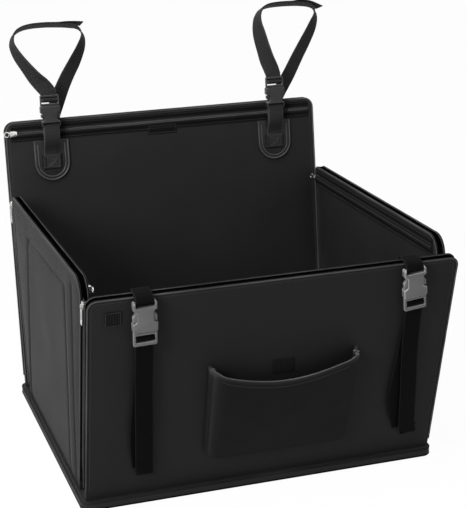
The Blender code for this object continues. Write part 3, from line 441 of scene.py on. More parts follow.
def evaluated(holder):
    # the mesh that an object's curve or modifiers come to
    bpy.context.scene.collection.objects.link(holder)
    made = bpy.data.meshes.new_from_object(holder.evaluated_get(bpy.context.evaluated_depsgraph_get()))
    bpy.data.objects.remove(holder)
    return made


def applied(mesh, kind, **settings):
    # the mesh that one modifier makes of another
    holder = bpy.data.objects.new("holder", mesh)
    step = holder.modifiers.new(kind, kind)
    for key, value in settings.items():
        setattr(step, key, value)
    return evaluated(holder)


def thickened(sheet, thickness):
    # a sheet with half of its thickness on each side
    return applied(meshOf(sheet), "SOLIDIFY", thickness=thickness, offset=0)


def meshOf(shape):
    mesh = bpy.data.meshes.new("shape")
    shape.to_mesh(mesh)
    shape.free()
    return mesh


def copiesAt(template, places):
    # many copies of a small shape as one mesh, joined in ever larger groups
    group = 12
    parts = []
    for place in places:
        part = template.copy()
        part.transform(place)
        parts.append(part)
    while len(parts) > 1:
        grown = []
        for first in range(0, len(parts), group):
            batch = parts[first:first + group]
            grown.append(meshOf(joined(batch)))
            bpy.data.batch_remove(batch)
        parts = grown
    return parts[0]


def joined(meshes):
    shape = bmesh.new()
    for mesh in meshes:
        shape.from_mesh(mesh)
    return shape


def smoothRoute(stations, step, fixed=None):
    # more stations on a smooth curve through the given ones; a station is a tuple of vectors
    made = []
    last = len(stations) - 1
    for index in range(last):
        near = [stations[max(0, min(last, index + offset))] for offset in (-1, 0, 1, 2)]
        length = (near[2][0] - near[1][0]).length
        pieces = fixed or max(2, math.ceil(length / step))
        for piece in range(pieces):
            t = piece / pieces
            weights = (-t + 2 * t * t - t ** 3, 2 - 5 * t * t + 3 * t ** 3,
                       t + 4 * t * t - 3 * t ** 3, t ** 3 - t * t)
            made.append(tuple(sum((near[k][part] * (weights[k] / 2) for k in range(4)), Vector((0, 0, 0)))
                              for part in range(len(stations[0]))))
    made.append(stations[-1])
    return made


def cord(points, radius, sides=3, closed=False):
    # a round bead along points, as a mesh
    curve = bpy.data.curves.new("cord", "CURVE")
    curve.dimensions = "3D"
    curve.bevel_depth = radius
    curve.bevel_resolution = sides
    curve.use_fill_caps = not closed
    spline = curve.splines.new("POLY")
    spline.points.add(len(points) - 1)
    for spot, point in zip(spline.points, points):
        spot.co = (*point, 1)
    spline.use_cyclic_u = closed
    return evaluated(bpy.data.objects.new("cord", curve))


def markWearAndPaintedLight(shape, amount):
    # how much real wear and painted highlight each point carries, for the materials
    layer = shape.verts.layers.float.new("wear_and_painted_light")
    for vert in shape.verts:
        vert[layer] = amount(vert)


def slabbed(shape, depth, edge, segments, clamp=False):
    # gives a flat sheet its thickness and rounds its rims
    grown = bmesh.ops.extrude_face_region(shape, geom=shape.faces[:])["geom"]
    moved = [item for item in grown if isinstance(item, bmesh.types.BMVert)]
    bmesh.ops.translate(shape, vec=depth, verts=moved)
    bmesh.ops.recalc_face_normals(shape, faces=shape.faces)
    rims = [side for side in shape.edges if side.calc_face_angle(0) > math.radians(60)]
    bmesh.ops.bevel(shape, geom=rims, offset=edge, segments=segments, profile=0.5, affect="EDGES",
                    material=-1, clamp_overlap=clamp)


def runAt(points, index):
    # the way along a row of points at one of them
    return points[min(index + 1, len(points) - 1)] - points[max(index - 1, 0)]


def lengthOf(points):
    return sum((end - start).length for start, end in zip(points, points[1:]))


def finer(points, step):
    # the same straight runs with more points
    fine = []
    for start, end in zip(points, points[1:]):
        count = max(1, round((end - start).length / step))
        fine += [start.lerp(end, piece / count) for piece in range(count)]
    return fine + [points[-1]]


# In a wall's own frame and in a zipper's: x goes sideways and -y outwards
sideways, outward, inward = Vector((1, 0, 0)), Vector((0, -1, 0)), Vector((0, 1, 0))
stitch = {"pitch": 3.2 * mm, "finePitch": 2.8 * mm, "boxPitch": 2.6 * mm, "tackPitch": 2 * mm,
          "length": 2.5 * mm, "radius": 0.32 * mm}


def makeThread():
    shape = bmesh.new()
    bmesh.ops.create_uvsphere(shape, u_segments=6, v_segments=5, radius=1)
    size = (stitch["radius"], stitch["radius"] * 0.8, stitch["length"] / 2)
    bmesh.ops.scale(shape, vec=size, verts=shape.verts)
    return meshOf(shape)


threadMesh = makeThread()


def stitchPlaces(points, normal, pitch=stitch["pitch"]):
    # a row of stitches along points, lying on a surface whose normal is normal or normal(point)
    places = []
    spare = pitch / 2
    for start, end in zip(points, points[1:]):
        run = end - start
        length = run.length
        if length < 1e-7:
            continue
        along = run / length
        out = normal(start) if callable(normal) else normal
        side = out.cross(along).normalized()
        turn = Matrix((side, along.cross(side), along)).transposed().to_4x4()
        while spare <= length:
            places.append(Matrix.Translation(start + along * spare) @ turn)
            spare += pitch
        spare -= length
    return places


def sew(name, places, body, place=None):
    # a wall's threads are given in the wall's own frame, unless they have a frame of their own
    place = wallFrames.get(body) if place is None else place
    return addPiece(name + "_stitching", copiesAt(threadMesh, places), "thread", body, place)


def onWall(name, shape, look, wall, **settings):
    return addPiece(name, shape, look, wall, wallFrames[wall], **settings)


# The walls' own frames and outlines: x along a wall, -y outwards, z up its outer face

box = {"footWidth": 490 * mm, "footDepth": 404 * mm, "footLevel": 12.3 * mm, "thickness": 12 * mm,
       "frontHeight": 309 * mm, "backHeight": 403 * mm, "backTopWidth": 489 * mm,
       "sideFront": 317 * mm, "sideBack": 300 * mm, "frontLean": math.radians(12.5),
       "backLean": math.radians(8.4), "sideLean": math.radians(0.4), "cornerOffset": 36 * mm,
       "edge": 2.2 * mm}


def wallPlace(x, y, turn, lean):
    return Matrix.Translation((x, y, box["footLevel"])) @ turned(turn, "Z") @ turned(lean, "X")


wallFrames = {
    "front_wall": wallPlace(0, -box["footDepth"] / 2, 0, box["frontLean"]),
    "back_wall": wallPlace(0, box["footDepth"] / 2, math.pi, box["backLean"]),
    "left_wall": wallPlace(-box["footWidth"] / 2, 0, -math.pi / 2, box["sideLean"]),
    "right_wall": wallPlace(box["footWidth"] / 2, 0, math.pi / 2, box["sideLean"]),
}


def sideEnd(lean, height):
    return box["footDepth"] / 2 - box["cornerOffset"] / math.cos(lean) + height * math.tan(lean)


sideCorners = [Vector((-sideEnd(box["backLean"], 0), 0)), Vector((sideEnd(box["frontLean"], 0), 0)),
               Vector((sideEnd(box["frontLean"], box["sideFront"]), box["sideFront"])),
               Vector((-sideEnd(box["backLean"], box["sideBack"]), box["sideBack"]))]
footHalf = box["footWidth"] / 2
frontHalf = footHalf + box["frontHeight"] * math.cos(box["frontLean"]) * math.tan(box["sideLean"])


def endCorners(topHalf, height):
    return [Vector((-footHalf, 0)), Vector((footHalf, 0)), Vector((topHalf, height)),
            Vector((-topHalf, height))]


wallCorners = {
    "front_wall": endCorners(frontHalf, box["frontHeight"]),
    "back_wall": endCorners(box["backTopWidth"] / 2, box["backHeight"]),
    "left_wall": sideCorners,
    "right_wall": [Vector((-sideCorners[k].x, sideCorners[k].y)) for k in (1, 0, 3, 2)],
}
wallRadii = {"front_wall": (12 * mm, 12 * mm), "back_wall": (14 * mm, 14 * mm),
             "left_wall": (24 * mm, 12 * mm), "right_wall": (12 * mm, 24 * mm)}   # top right, top left


def cornerCentre(corner, before, after, radius):
    # the middle of a corner's arc, and the two outward normals where the arc meets the edges
    back = (before - corner).normalized()
    ahead = (after - corner).normalized()
    half = back.angle(ahead) / 2
    centre = corner + (back + ahead).normalized() * (radius / math.sin(half))
    first = (corner + back * (radius / math.tan(half)) - centre).normalized()
    second = (corner + ahead * (radius / math.tan(half)) - centre).normalized()
    return centre, first, second


def onCorner(wall, point):
    # pulls a point of the sharp outline's wedge onto the rounded corner
    corners = wallCorners[wall]
    for index, radius in zip((2, 3), wallRadii[wall]):
        centre, first, second = cornerCentre(corners[index], corners[index - 1],
                                             corners[(index + 1) % 4], radius)
        arm = point - centre
        turn = first.x * second.y - first.y * second.x
        a = (arm.x * second.y - arm.y * second.x) / turn
        b = (first.x * arm.y - first.y * arm.x) / turn
        if a > 0 and b > 0:
            way = arm.normalized()
            return centre + arm * max(first.dot(way), second.dot(way))
    return point


def rimPath(wall, foot=14 * mm, step=6 * mm):
    # up one end of the wall, over its top and down the other, as (x, z) points
    corners = wallCorners[wall]
    path = [corners[1].lerp(corners[2], foot / corners[2].y)]
    for index, radius in zip((2, 3), wallRadii[wall]):
        centre, first, second = cornerCentre(corners[index], corners[index - 1],
                                             corners[(index + 1) % 4], radius)
        sweep = -first.angle_signed(second)
        path += [centre + (Matrix.Rotation(sweep * turn / 8, 2) @ first) * radius for turn in range(9)]
    path.append(corners[0].lerp(corners[3], foot / corners[3].y))
    return finer(path, step)


def outwards(path):
    # the way out of the wall at each point of its rim
    found = []
    for index in range(len(path)):
        run = runAt(path, index)
        found.append(Vector((run.y, -run.x)).normalized())
    return found


def lineDistance(point, start, end):
    run = end - start
    share = max(0.0, min(1.0, (point - start).dot(run) / run.length_squared))
    return (point - start - run * share).length


zipDrop = 16 * mm
zipMargins = {"front_wall": (19 * mm, 19 * mm), "back_wall": (7.4 * mm, 7.4 * mm),
              "left_wall": (7.4 * mm, 19 * mm), "right_wall": (19 * mm, 7.4 * mm)}


def zipLine(wall):
    left, right = wallCorners[wall][3], wallCorners[wall][2]
    along = (right - left).normalized()
    down = Vector((along.y, -along.x)) * zipDrop
    return left + down + along * zipMargins[wall][0], right + down - along * zipMargins[wall][1]


# The left wall's stiff middle panel, and the outer seams beside it, as (x, z) points
panel = {
    "lines": (((-0.143, 0.006), (-0.096, 0.268), (0.141, 0.282), (0.121, 0.006)),
              ((-0.165, 0.006), (-0.131, 0.284)), ((0.152, 0.006), (0.182, 0.298))),
    "grooveDepth": 2.6 * mm, "grooveWidth": 2.6 * mm, "bandRise": 1.3 * mm, "bandWidth": 9 * mm,
    "puff": 1.5 * mm, "puffReach": 16 * mm, "bandReach": 14 * mm, "crease": 275 * mm,
}


def panelLines(wall):
    flip = 1 if wall == "left_wall" else -1
    return [[Vector((flip * x, z)) for x, z in line] for line in panel["lines"]]


pillow = {"edgeDip": 0.6 * mm, "edgeAt": 4 * mm, "edgeWidth": 13 * mm, "pucker": 0.2 * mm,
          "puckerReach": 14 * mm, "puckerStart": 3 * mm, "across": 70 * mm, "along": 24 * mm,
          "ripple": 0.35 * mm, "rippleStart": 22 * mm, "zipClear": 12 * mm, "zipFade": 6 * mm,
          "deepest": 0.9 * mm, "highest": 2.4 * mm, "grid": 9 * mm}


def clothDepth(wall, point, inside):
    # how far the cloth lies below the wall's flat face
    corners = wallCorners[wall]
    edges = [(corners[k], corners[(k + 1) % 4]) for k in range(4)]
    distances = [lineDistance(point, start, end) for start, end in edges]
    near = min(distances)
    across, along = pillow["across"], pillow["along"]
    if distances.index(near) in (1, 3):
        spread = Vector((point.x / across, point.y / along, 7.3 + inside))
    else:
        spread = Vector((point.x / along, point.y / across, 2.1 + inside))
    fold = 0.5 + 0.5 * noise.noise(spread)
    depth = pillow["edgeDip"] * math.exp(-((near - pillow["edgeAt"]) / pillow["edgeWidth"]) ** 2)
    depth += (pillow["pucker"] * fold * math.exp(-near / pillow["puckerReach"])
              * min(1, near / pillow["puckerStart"]))
    broad = noise.noise(Vector((point.x * 9, point.y * 7, 3.7 + 5 * inside)))
    slack = noise.noise(Vector((point.x * 26 + 4, point.y * 19, 1.3 + 5 * inside)))
    depth += pillow["ripple"] * (0.6 + 0.4 * broad + 0.2 * slack) * min(1, near / pillow["rippleStart"])
    if inside:
        start, end = zipLine(wall)
        beyond = lineDistance(point, start, end) - pillow["zipClear"]
        depth *= max(0, min(1, beyond / pillow["zipFade"]))
    elif wall in ("left_wall", "right_wall"):
        border, *outer = panelLines(wall)
        runs = [lineDistance(point, start, end) for start, end in zip(border, border[1:])]
        runs += [lineDistance(point, start, end) for start, end in outer]
        depth += panel["grooveDepth"] * math.exp(-(min(runs) / panel["grooveWidth"]) ** 2)
        depth -= panel["puff"] * min(1, near / panel["puffReach"]) * (1 - 0.3 * broad)
        for start, end, beside in ((border[0], border[1], outer[0]), (border[3], border[2], outer[1])):
            middle = [start.lerp(beside[0], 0.5), end.lerp(beside[1], 0.5)]
            roll = math.exp(-(lineDistance(point, *middle) / panel["bandWidth"]) ** 2)
            depth -= panel["bandRise"] * roll * min(1, near / panel["bandReach"])
        return max(-pillow["highest"], min(pillow["deepest"], depth))
    return max(0, min(pillow["deepest"], depth))


def denser(stops, step, fine=(0.9 * mm, 2.2 * mm, 4.4 * mm)):
    # positions between the first and last stop, close together at every stop
    spots = set(stops)
    for low, high in zip(stops, stops[1:]):
        offsets = [offset for offset in fine if offset < (high - low) / 2]
        inner = [low + offset for offset in offsets] + [high - offset for offset in offsets]
        spots.update(inner)
        start, end = (inner[len(offsets) - 1], inner[-1]) if offsets else (low, high)
        count = max(1, round((end - start) / step))
        spots.update(start + (end - start) * piece / count for piece in range(count))
    return sorted(spots)


def wallLines(wall):
    # the grid's upright lines as (x at the foot, x at the top), and its level lines as shares
    corners = wallCorners[wall]
    height = (corners[2].y + corners[3].y) / 2
    uprights = [(corners[0].x, corners[3].x), (corners[1].x, corners[2].x)]
    levels = [0, height]
    if wall in ("left_wall", "right_wall"):
        border, *outer = panelLines(wall)
        for low, high in ([border[0], border[1]], [border[3], border[2]], *outer):
            run = (high - low) / (high.y - low.y)
            uprights.append((low.x - run.x * low.y, low.x + run.x * (height - low.y)))
        levels = [0, panel["crease"], height]
    uprights.sort()
    columns = []
    for (lowLeft, highLeft), (lowRight, highRight) in zip(uprights, uprights[1:]):
        width = lowRight - lowLeft
        shares = [spot / width for spot in denser([0, width], pillow["grid"])]
        columns += [(lowLeft + (lowRight - lowLeft) * share, highLeft + (highRight - highLeft) * share)
                    for share in shares[:-1]]
    columns.append(uprights[-1])
    return columns, [level / height for level in denser(levels, pillow["grid"])]


def makeWallCover(wall):
    columns, rows = wallLines(wall)
    corners = wallCorners[wall]

    def spot(u, v):
        low, high = columns[round(u * (len(columns) - 1))]
        share = rows[round(v * (len(rows) - 1))]
        topShare = (high - corners[3].x) / (corners[2].x - corners[3].x)
        top = corners[3].lerp(corners[2], topShare)
        point = onCorner(wall, Vector((low, 0)).lerp(Vector((high, top.y)), share))
        return Vector((point.x, 0, point.y))

    shape = gridShape(len(columns) - 1, len(rows) - 1, spot)
    slabbed(shape, (0, box["thickness"], 0), box["edge"], 3, clamp=True)
    wearAndPaintedLight = shape.verts.layers.float.new("wear_and_painted_light")
    reach = shape.verts.layers.float_vector.new("edges")
    edges = [(corners[k], corners[(k + 1) % 4]) for k in range(4)]
    for vert in shape.verts:
        point = Vector((vert.co.x, vert.co.z))
        away = [lineDistance(point, start, end) for start, end in edges]
        near = min(away)
        vert[reach] = (min(away[1], away[3]), away[2], away[0])
        vert[wearAndPaintedLight] = 0.25 * math.exp(-near / (2 * mm))
        inside = vert.co.y > box["thickness"] / 2
        depth = clothDepth(wall, point, inside)
        if vert.co.y < 0.1 * mm:
            vert.co.y += depth
        elif vert.co.y > box["thickness"] - 0.1 * mm:
            vert.co.y -= depth
    shape.normal_update()
    flatUvs(shape)
    onWall(wall + "_cloth", shape, "cover", wall, stands=[wall + "_cover"], sharp=70)


piping = {"radius": 1.6 * mm, "stand": 0.6 * mm, "wander": 0.25 * mm, "seam": 4.6 * mm}


def makePiping(wall):
    path = rimPath(wall)
    beads = []
    for depth, seed in ((piping["radius"] - piping["stand"], 1),
                        (box["thickness"] - piping["radius"] + piping["stand"], 2)):
        points = []
        for index, point in enumerate(path):
            sway = noise.noise(Vector((index * 0.35, seed * 9.1, len(wall)))) * piping["wander"]
            points.append(Vector((point.x, depth + sway, point.y)))
        beads.append(cord(points, piping["radius"]))
    shape = joined(beads)
    bmesh.ops.remove_doubles(shape, verts=shape.verts, dist=1e-6)
    bmesh.ops.recalc_face_normals(shape, faces=shape.faces)
    shape.normal_update()
    # painted highlight: the sides of each bead that face out of and into the wall are drawn paler
    markWearAndPaintedLight(shape, lambda vert: max(0, abs(vert.normal.y) - 0.5) * 1.8)
    flatUvs(shape)
    onWall(wall + "_piping", shape, "binding", wall)


rim = {"width": 8.4 * mm, "thickness": 0.5 * mm, "lift": 0.15 * mm, "crown": 0.35 * mm}


def makeRimTape(wall):
    # the woven tape round the wall's edge, between its two beads of piping
    path = rimPath(wall, step=5 * mm)
    outs = outwards(path)

    def spot(u, v):
        index = round(v * (len(path) - 1))
        crown = rim["crown"] * (1 - (2 * u - 1) ** 2)
        point = path[index] + outs[index] * (rim["lift"] + crown)
        return Vector((point.x, box["thickness"] / 2 + rim["width"] * (u - 0.5), point.y))

    sheet = gridShape(6, len(path) - 1, spot, (rim["width"], lengthOf(path)))
    onWall(wall + "_rim_tape", thickened(sheet, rim["thickness"]), "rim", wall)


def onCloth(wall, point, inside):
    # a point of the wall's outline laid just off its cloth
    depth = clothDepth(wall, point, inside) - 0.1 * mm
    return Vector((point.x, box["thickness"] - depth if inside else depth, point.y))


def makeSeams(wall):
    # threads beside the piping on both faces, and along the side walls' panel seams
    places = []
    path = rimPath(wall, foot=16 * mm)
    line = [point - out * piping["seam"] for point, out in zip(path, outwards(path))]
    for inside, out in ((False, outward), (True, inward)):
        places += stitchPlaces([onCloth(wall, point, inside) for point in line], out)
    if wall in ("left_wall", "right_wall"):
        for run in panelLines(wall):
            places += stitchPlaces([onCloth(wall, point, False) for point in finer(run, 5 * mm)], outward)
    sew(wall, places, wall)


for wall in wallFrames:
    makeWallCover(wall)
    makePiping(wall)
    makeRimTape(wall)
    makeSeams(wall)
    finishBoard(wall + "_board")
print("walls made")


# The base: a thin board in a cloth cover with a bound edge

base = {"width": 502 * mm, "depth": 416 * mm, "thickness": 12 * mm, "corner": 14 * mm, "edge": 3 * mm,
        "bead": 1.5 * mm, "slack": 0.7 * mm, "slackStart": 30 * mm, "seam": 3.6 * mm,
        "beadInset": 1.1 * mm, "upperBead": 1.3 * mm, "lowerBead": 1.7 * mm}


def basePath(inset):
    points = []
    half = Vector((base["width"] / 2 - base["corner"], base["depth"] / 2 - base["corner"]))
    for index, (sx, sy) in enumerate(((1, 1), (-1, 1), (-1, -1), (1, -1))):
        for step in range(9):
            turn = math.pi / 2 * (index + step / 8)
            arm = Vector((math.cos(turn), math.sin(turn))) * (base["corner"] - inset)
            points.append(Vector((sx * half.x, sy * half.y)) + arm)
    return points


def makeBase():
    def spot(u, v):
        half = Vector((base["width"] / 2, base["depth"] / 2))
        point = Vector(((2 * u - 1) * half.x, (2 * v - 1) * half.y))
        centre = Vector((math.copysign(half.x - base["corner"], point.x),
                         math.copysign(half.y - base["corner"], point.y)))
        arm = point - centre
        if arm.x * point.x > 0 and arm.y * point.y > 0:
            way = arm.normalized()
            point = centre + arm * max(abs(way.x), abs(way.y))
        return Vector((point.x, point.y, base["thickness"]))

    shape = gridShape(72, 60, spot)
    slabbed(shape, (0, 0, -base["thickness"]), base["edge"], 4)

    def fromEdge(vert):
        return min(base["width"] / 2 - abs(vert.co.x), base["depth"] / 2 - abs(vert.co.y))

    markWearAndPaintedLight(shape, lambda vert: 0.3 * math.exp(-fromEdge(vert) / (3 * mm)))
    for vert in shape.verts:
        if vert.co.z > base["thickness"] - 0.1 * mm:
            broad = 0.5 + 0.5 * noise.noise(Vector((vert.co.x * 11, vert.co.y * 11, 0.4)))
            vert.co.z -= base["slack"] * broad * min(1, fromEdge(vert) / base["slackStart"])
    flatUvs(shape)
    addPiece("base_cloth", shape, "cover", "base", stands=["base_cover"], sharp=70)
    # painted light and shade: the upper bead is drawn paler and the lower bead takes the darker rim look
    for name, level, look in (("base_upper_piping", base["thickness"] - base["upperBead"], "binding"),
                              ("base_lower_piping", base["lowerBead"], "rim")):
        ring = [Vector((*point, level)) for point in basePath(base["beadInset"])]
        shape = joined([cord(ring, base["bead"], closed=True)])
        bmesh.ops.recalc_face_normals(shape, faces=shape.faces)
        markWearAndPaintedLight(shape, lambda vert: 0.12)
        flatUvs(shape)
        addPiece(name, shape, look, "base")
    line = [Vector((*point, base["thickness"] + 0.05 * mm)) for point in basePath(base["seam"])]
    line.append(line[0])
    sew("base", stitchPlaces(line, Vector((0, 0, 1))), "base")
    finishBoard("base_board")


makeBase()
print("base made")


# Zippers: in a zipper's frame z runs towards its closed end and -y towards the visible side

zipper = {"band": 24 * mm, "tape": 0.7 * mm, "pitch": 1.45 * mm, "split": 1.6 * mm, "coil": 2.4 * mm,
          "height": 2.2 * mm, "wire": 0.52 * mm, "gap": 0.3 * mm, "cornerEdge": 11.1 * mm,
          "cornerInset": 3.4 * mm, "cornerFoot": 10 * mm, "cornerTop": 8 * mm, "park": 6 * mm,
          "low": 36 * mm, "sliderLength": 11 * mm, "sliderWidth": 8.8 * mm, "pullerLength": 27 * mm,
          "lean": math.radians(7), "rise": 0.6 * mm, "ripple": 0.12 * mm, "bevel": 0.3 * mm,
          "stop": (4 * mm, 2.6 * mm, 2 * mm)}


def zipFrame(wall, place, along, outward):
    up = Vector((along[0], 0, along[1])).normalized()
    back = Vector((0, -outward, 0))
    turn = Matrix((back.cross(up), back, up)).transposed().to_4x4()
    return wallFrames[wall] @ Matrix.Translation(place) @ turn


def toothShape(side):
    # one turn of the coil: a bar across the tape's edge with a swollen head in the middle
    shape = bmesh.new()
    outer = zipper["split"] / 2 + zipper["coil"]
    inner = 0.45 * mm
    bmesh.ops.create_cone(shape, cap_ends=True, segments=6, radius1=zipper["wire"], radius2=zipper["wire"],
                          depth=outer - inner)
    bmesh.ops.subdivide_edges(
        shape, edges=[edge for edge in shape.edges if abs(edge.verts[0].co.z - edge.verts[1].co.z) > mm],
        cuts=3)
    for vert in shape.verts:
        share = vert.co.z / (outer - inner) + 0.5
        swell = 1 + 0.35 * math.exp(-((share - 0.12) / 0.16) ** 2)
        vert.co.x *= swell
        vert.co.y = vert.co.y * swell + 0.35 * mm * math.sin(math.pi * share)
    bmesh.ops.rotate(shape, cent=(0, 0, 0), matrix=Matrix.Rotation(math.pi / 2, 3, "Y"), verts=shape.verts)
    bmesh.ops.translate(shape, vec=((outer + inner) / 2, 0, 0), verts=shape.verts)
    if side < 0:
        bmesh.ops.rotate(shape, cent=(0, 0, 0), matrix=Matrix.Rotation(math.pi, 3, "Z"), verts=shape.verts)
    level = -zipper["tape"] / 2 - zipper["wire"] - zipper["rise"]
    bmesh.ops.translate(shape, vec=(0, level, 0), verts=shape.verts)
    return meshOf(shape)


def coilMesh(side, low, high):
    # both layers of the coil, upper turns leaning one way and lower turns the other
    count = max(1, int((high - low) / zipper["pitch"]))
    offset = zipper["pitch"] / 2 if side < 0 else 0
    tooth = toothShape(side)
    places = [Matrix.Translation((0, 0, low + offset + zipper["pitch"] * (index + 0.25)))
              @ turned(side * zipper["lean"], "Y") for index in range(count)]
    under = [Matrix.Translation((0, 0.55 * mm, zipper["pitch"] * 0.42)) @ place for place in places]
    return copiesAt(tooth, places + under)


def tapeMesh(side, edge, low, high, start=None):
    begin = zipper["split"] / 2 if start is None else start
    rows = max(2, round((high - low) / (6 * mm)))

    def spot(u, v):
        ripple = zipper["ripple"] * noise.noise(Vector((v * (high - low) * 60, side * 3, edge)))
        return Vector((side * (begin + (edge - begin) * u), -ripple * u, low + (high - low) * v))

    sheet = gridShape(5, rows, spot, (2 * (edge - begin), high - low))
    return thickened(sheet, zipper["tape"] * 0.9)


def tapeStitches(side, edge, low, high):
    # two rows: one holds the coil to its tape, the other holds the tape to the wall
    level = -zipper["tape"] / 2 - 0.05 * mm
    places = []
    for x in (zipper["split"] / 2 + zipper["coil"] + 0.9 * mm, edge - 2 * mm):
        places += stitchPlaces([Vector((side * x, level, low)), Vector((side * x, level, high))], outward)
    return places


def joinedPiece(name, meshes, look, body, place, stands=()):
    shape = joined(meshes)
    bmesh.ops.recalc_face_normals(shape, faces=shape.faces)
    return addPiece(name, shape, look, body, place, stands=stands)


def refinedNode(node, look, body, bevel):
    # the node's own form with its edges rounded; the rounded faces are marked for a painted highlight
    shape = bmesh.new()
    shape.from_mesh(frame["nodes"][node].data)
    bmesh.ops.remove_doubles(shape, verts=shape.verts, dist=0.00001)
    bmesh.ops.dissolve_limit(shape, angle_limit=math.radians(1.5), verts=shape.verts, edges=shape.edges)
    wearAndPaintedLight = shape.faces.layers.float.new("wear_and_painted_light")
    edges = [edge for edge in shape.edges if edge.calc_face_angle(0) > math.radians(22)]
    rounded = bmesh.ops.bevel(shape, geom=edges, offset=bevel, segments=2, profile=0.5,
                              affect="EDGES", material=-1, clamp_overlap=True)["faces"]
    # painted highlight on the bevelled faces
    for face in rounded:
        face[wearAndPaintedLight] = 1
    bmesh.ops.recalc_face_normals(shape, faces=shape.faces)
    return addPiece(node + "_finished", shape, look, body, stands=[node], sharp=32)


def refinedMetal(name):
    for part in (name + "_slider", name + "_puller"):
        refinedNode(part, "metal", part, zipper["bevel"])


def makeBoardZipper(wall):
    left, right = zipLine(wall)
    along = right - left
    depth = box["thickness"] + zipper["gap"] + zipper["tape"] / 2
    place = zipFrame(wall, (right.x, depth, right.y), tuple(along), 1)
    length = along.length
    edge = zipper["band"] / 2
    tapes = [tapeMesh(side, edge, -length, 0) for side in (-1, 1)]
    joinedPiece(wall + "_zip_tapes", tapes, "zipTape", wall, place, stands=[wall + "_zipper"])
    coils = [coilMesh(side, 2 * mm - length, -1 * mm) for side in (-1, 1)]
    stop = bmesh.new()
    bmesh.ops.create_cube(stop, size=1)
    bmesh.ops.scale(stop, vec=zipper["stop"], verts=stop.verts)
    bmesh.ops.translate(stop, vec=(0, -zipper["stop"][1] / 2, zipper["stop"][2] / 2 - length),
                        verts=stop.verts)
    bmesh.ops.bevel(stop, geom=stop.edges[:], offset=0.4 * mm, segments=2, profile=0.5, affect="EDGES",
                    material=-1)
    joinedPiece(wall + "_zip_coil", coils + [meshOf(stop)], "coil", wall, place)
    places = [spot for side in (-1, 1) for spot in tapeStitches(side, edge, -length, 0)]
    sew(wall + "_zip", places, wall, place)
    refinedMetal(wall + "_zipper")


def makeCorner(corner, sideWall, endWall, lean, end):
    footX = box["footDepth"] / 2 - (box["cornerOffset"] - zipper["band"] / 2) / math.cos(lean)
    along = (end * math.sin(lean), math.cos(lean))
    place = zipFrame(sideWall, (end * footX, zipper["cornerInset"], 0), along, -1)
    top = {"front_wall": box["frontHeight"], "back_wall": box["sideBack"]}[endWall] - zipper["cornerTop"]
    edge = zipper["cornerEdge"]
    low = zipper["cornerFoot"]
    park = top - zipper["park"]
    name = f"{corner}_zipper_{endWall[:-5]}_half"
    joinedPiece(name + "_tape", [tapeMesh(end, edge, low, top)], "zipTape", endWall, place, stands=[name])
    joinedPiece(name + "_coil", [coilMesh(end, low, top)], "coil", endWall, place)
    sew(name, tapeStitches(end, edge, low, top), endWall, place)
    coilFrom = zipper["low"] + zipper["sliderLength"] / 2 + zipper["gap"]
    coilTo = park - zipper["pullerLength"] - zipper["gap"]
    plain = zipper["sliderWidth"] / 2 + zipper["gap"]
    name = corner + "_zipper_side_half"
    strips = [tapeMesh(-end, edge, low, top, start=plain),
              tapeMesh(-end, plain + 0.2 * mm, coilFrom, coilTo)]
    joinedPiece(name + "_tape", strips, "zipTape", sideWall, place, stands=[name])
    joinedPiece(name + "_coil", [coilMesh(-end, coilFrom, coilTo)], "coil", sideWall, place)
    sewn = [spot for spot in tapeStitches(-end, edge, low, top) if abs(spot.translation.x) > plain]
    sew(name, sewn, sideWall, place)
    refinedMetal(corner + "_corner")


for wall in wallFrames:
    makeBoardZipper(wall)
makeCorner("front_left", "left_wall", "front_wall", box["frontLean"], 1)
makeCorner("back_left", "left_wall", "back_wall", box["backLean"], -1)
makeCorner("front_right", "right_wall", "front_wall", box["frontLean"], -1)
makeCorner("back_right", "right_wall", "back_wall", box["backLean"], 1)
print("zippers made")


# Webbing and buckles

webbing = {"width": 24 * mm, "thickness": 1.3 * mm, "gap": 0.4 * mm, "touch": 0.3 * mm}
layerStep = webbing["thickness"] + webbing["gap"]
webbingHalf = webbing["thickness"] / 2
stackHeight = webbing["thickness"] + layerStep + 2 * webbing["touch"]
headBuckle = {"socket": 32 * mm, "frame": 16 * mm, "root": 3.2 * mm}
frontBuckle = {"socket": 42 * mm, "frame": 20 * mm, "root": 5 * mm}
buckle = {"bar": 3 * mm, "clip": 4.6 * mm, "clipBar": 2.4 * mm, "barWidth": 2.6 * mm, "slot": 3.8 * mm,
          "socketBevel": 0.45 * mm, "clipBevel": 0.35 * mm}
barReach = buckle["bar"] / math.sqrt(2) + webbing["touch"] + webbingHalf


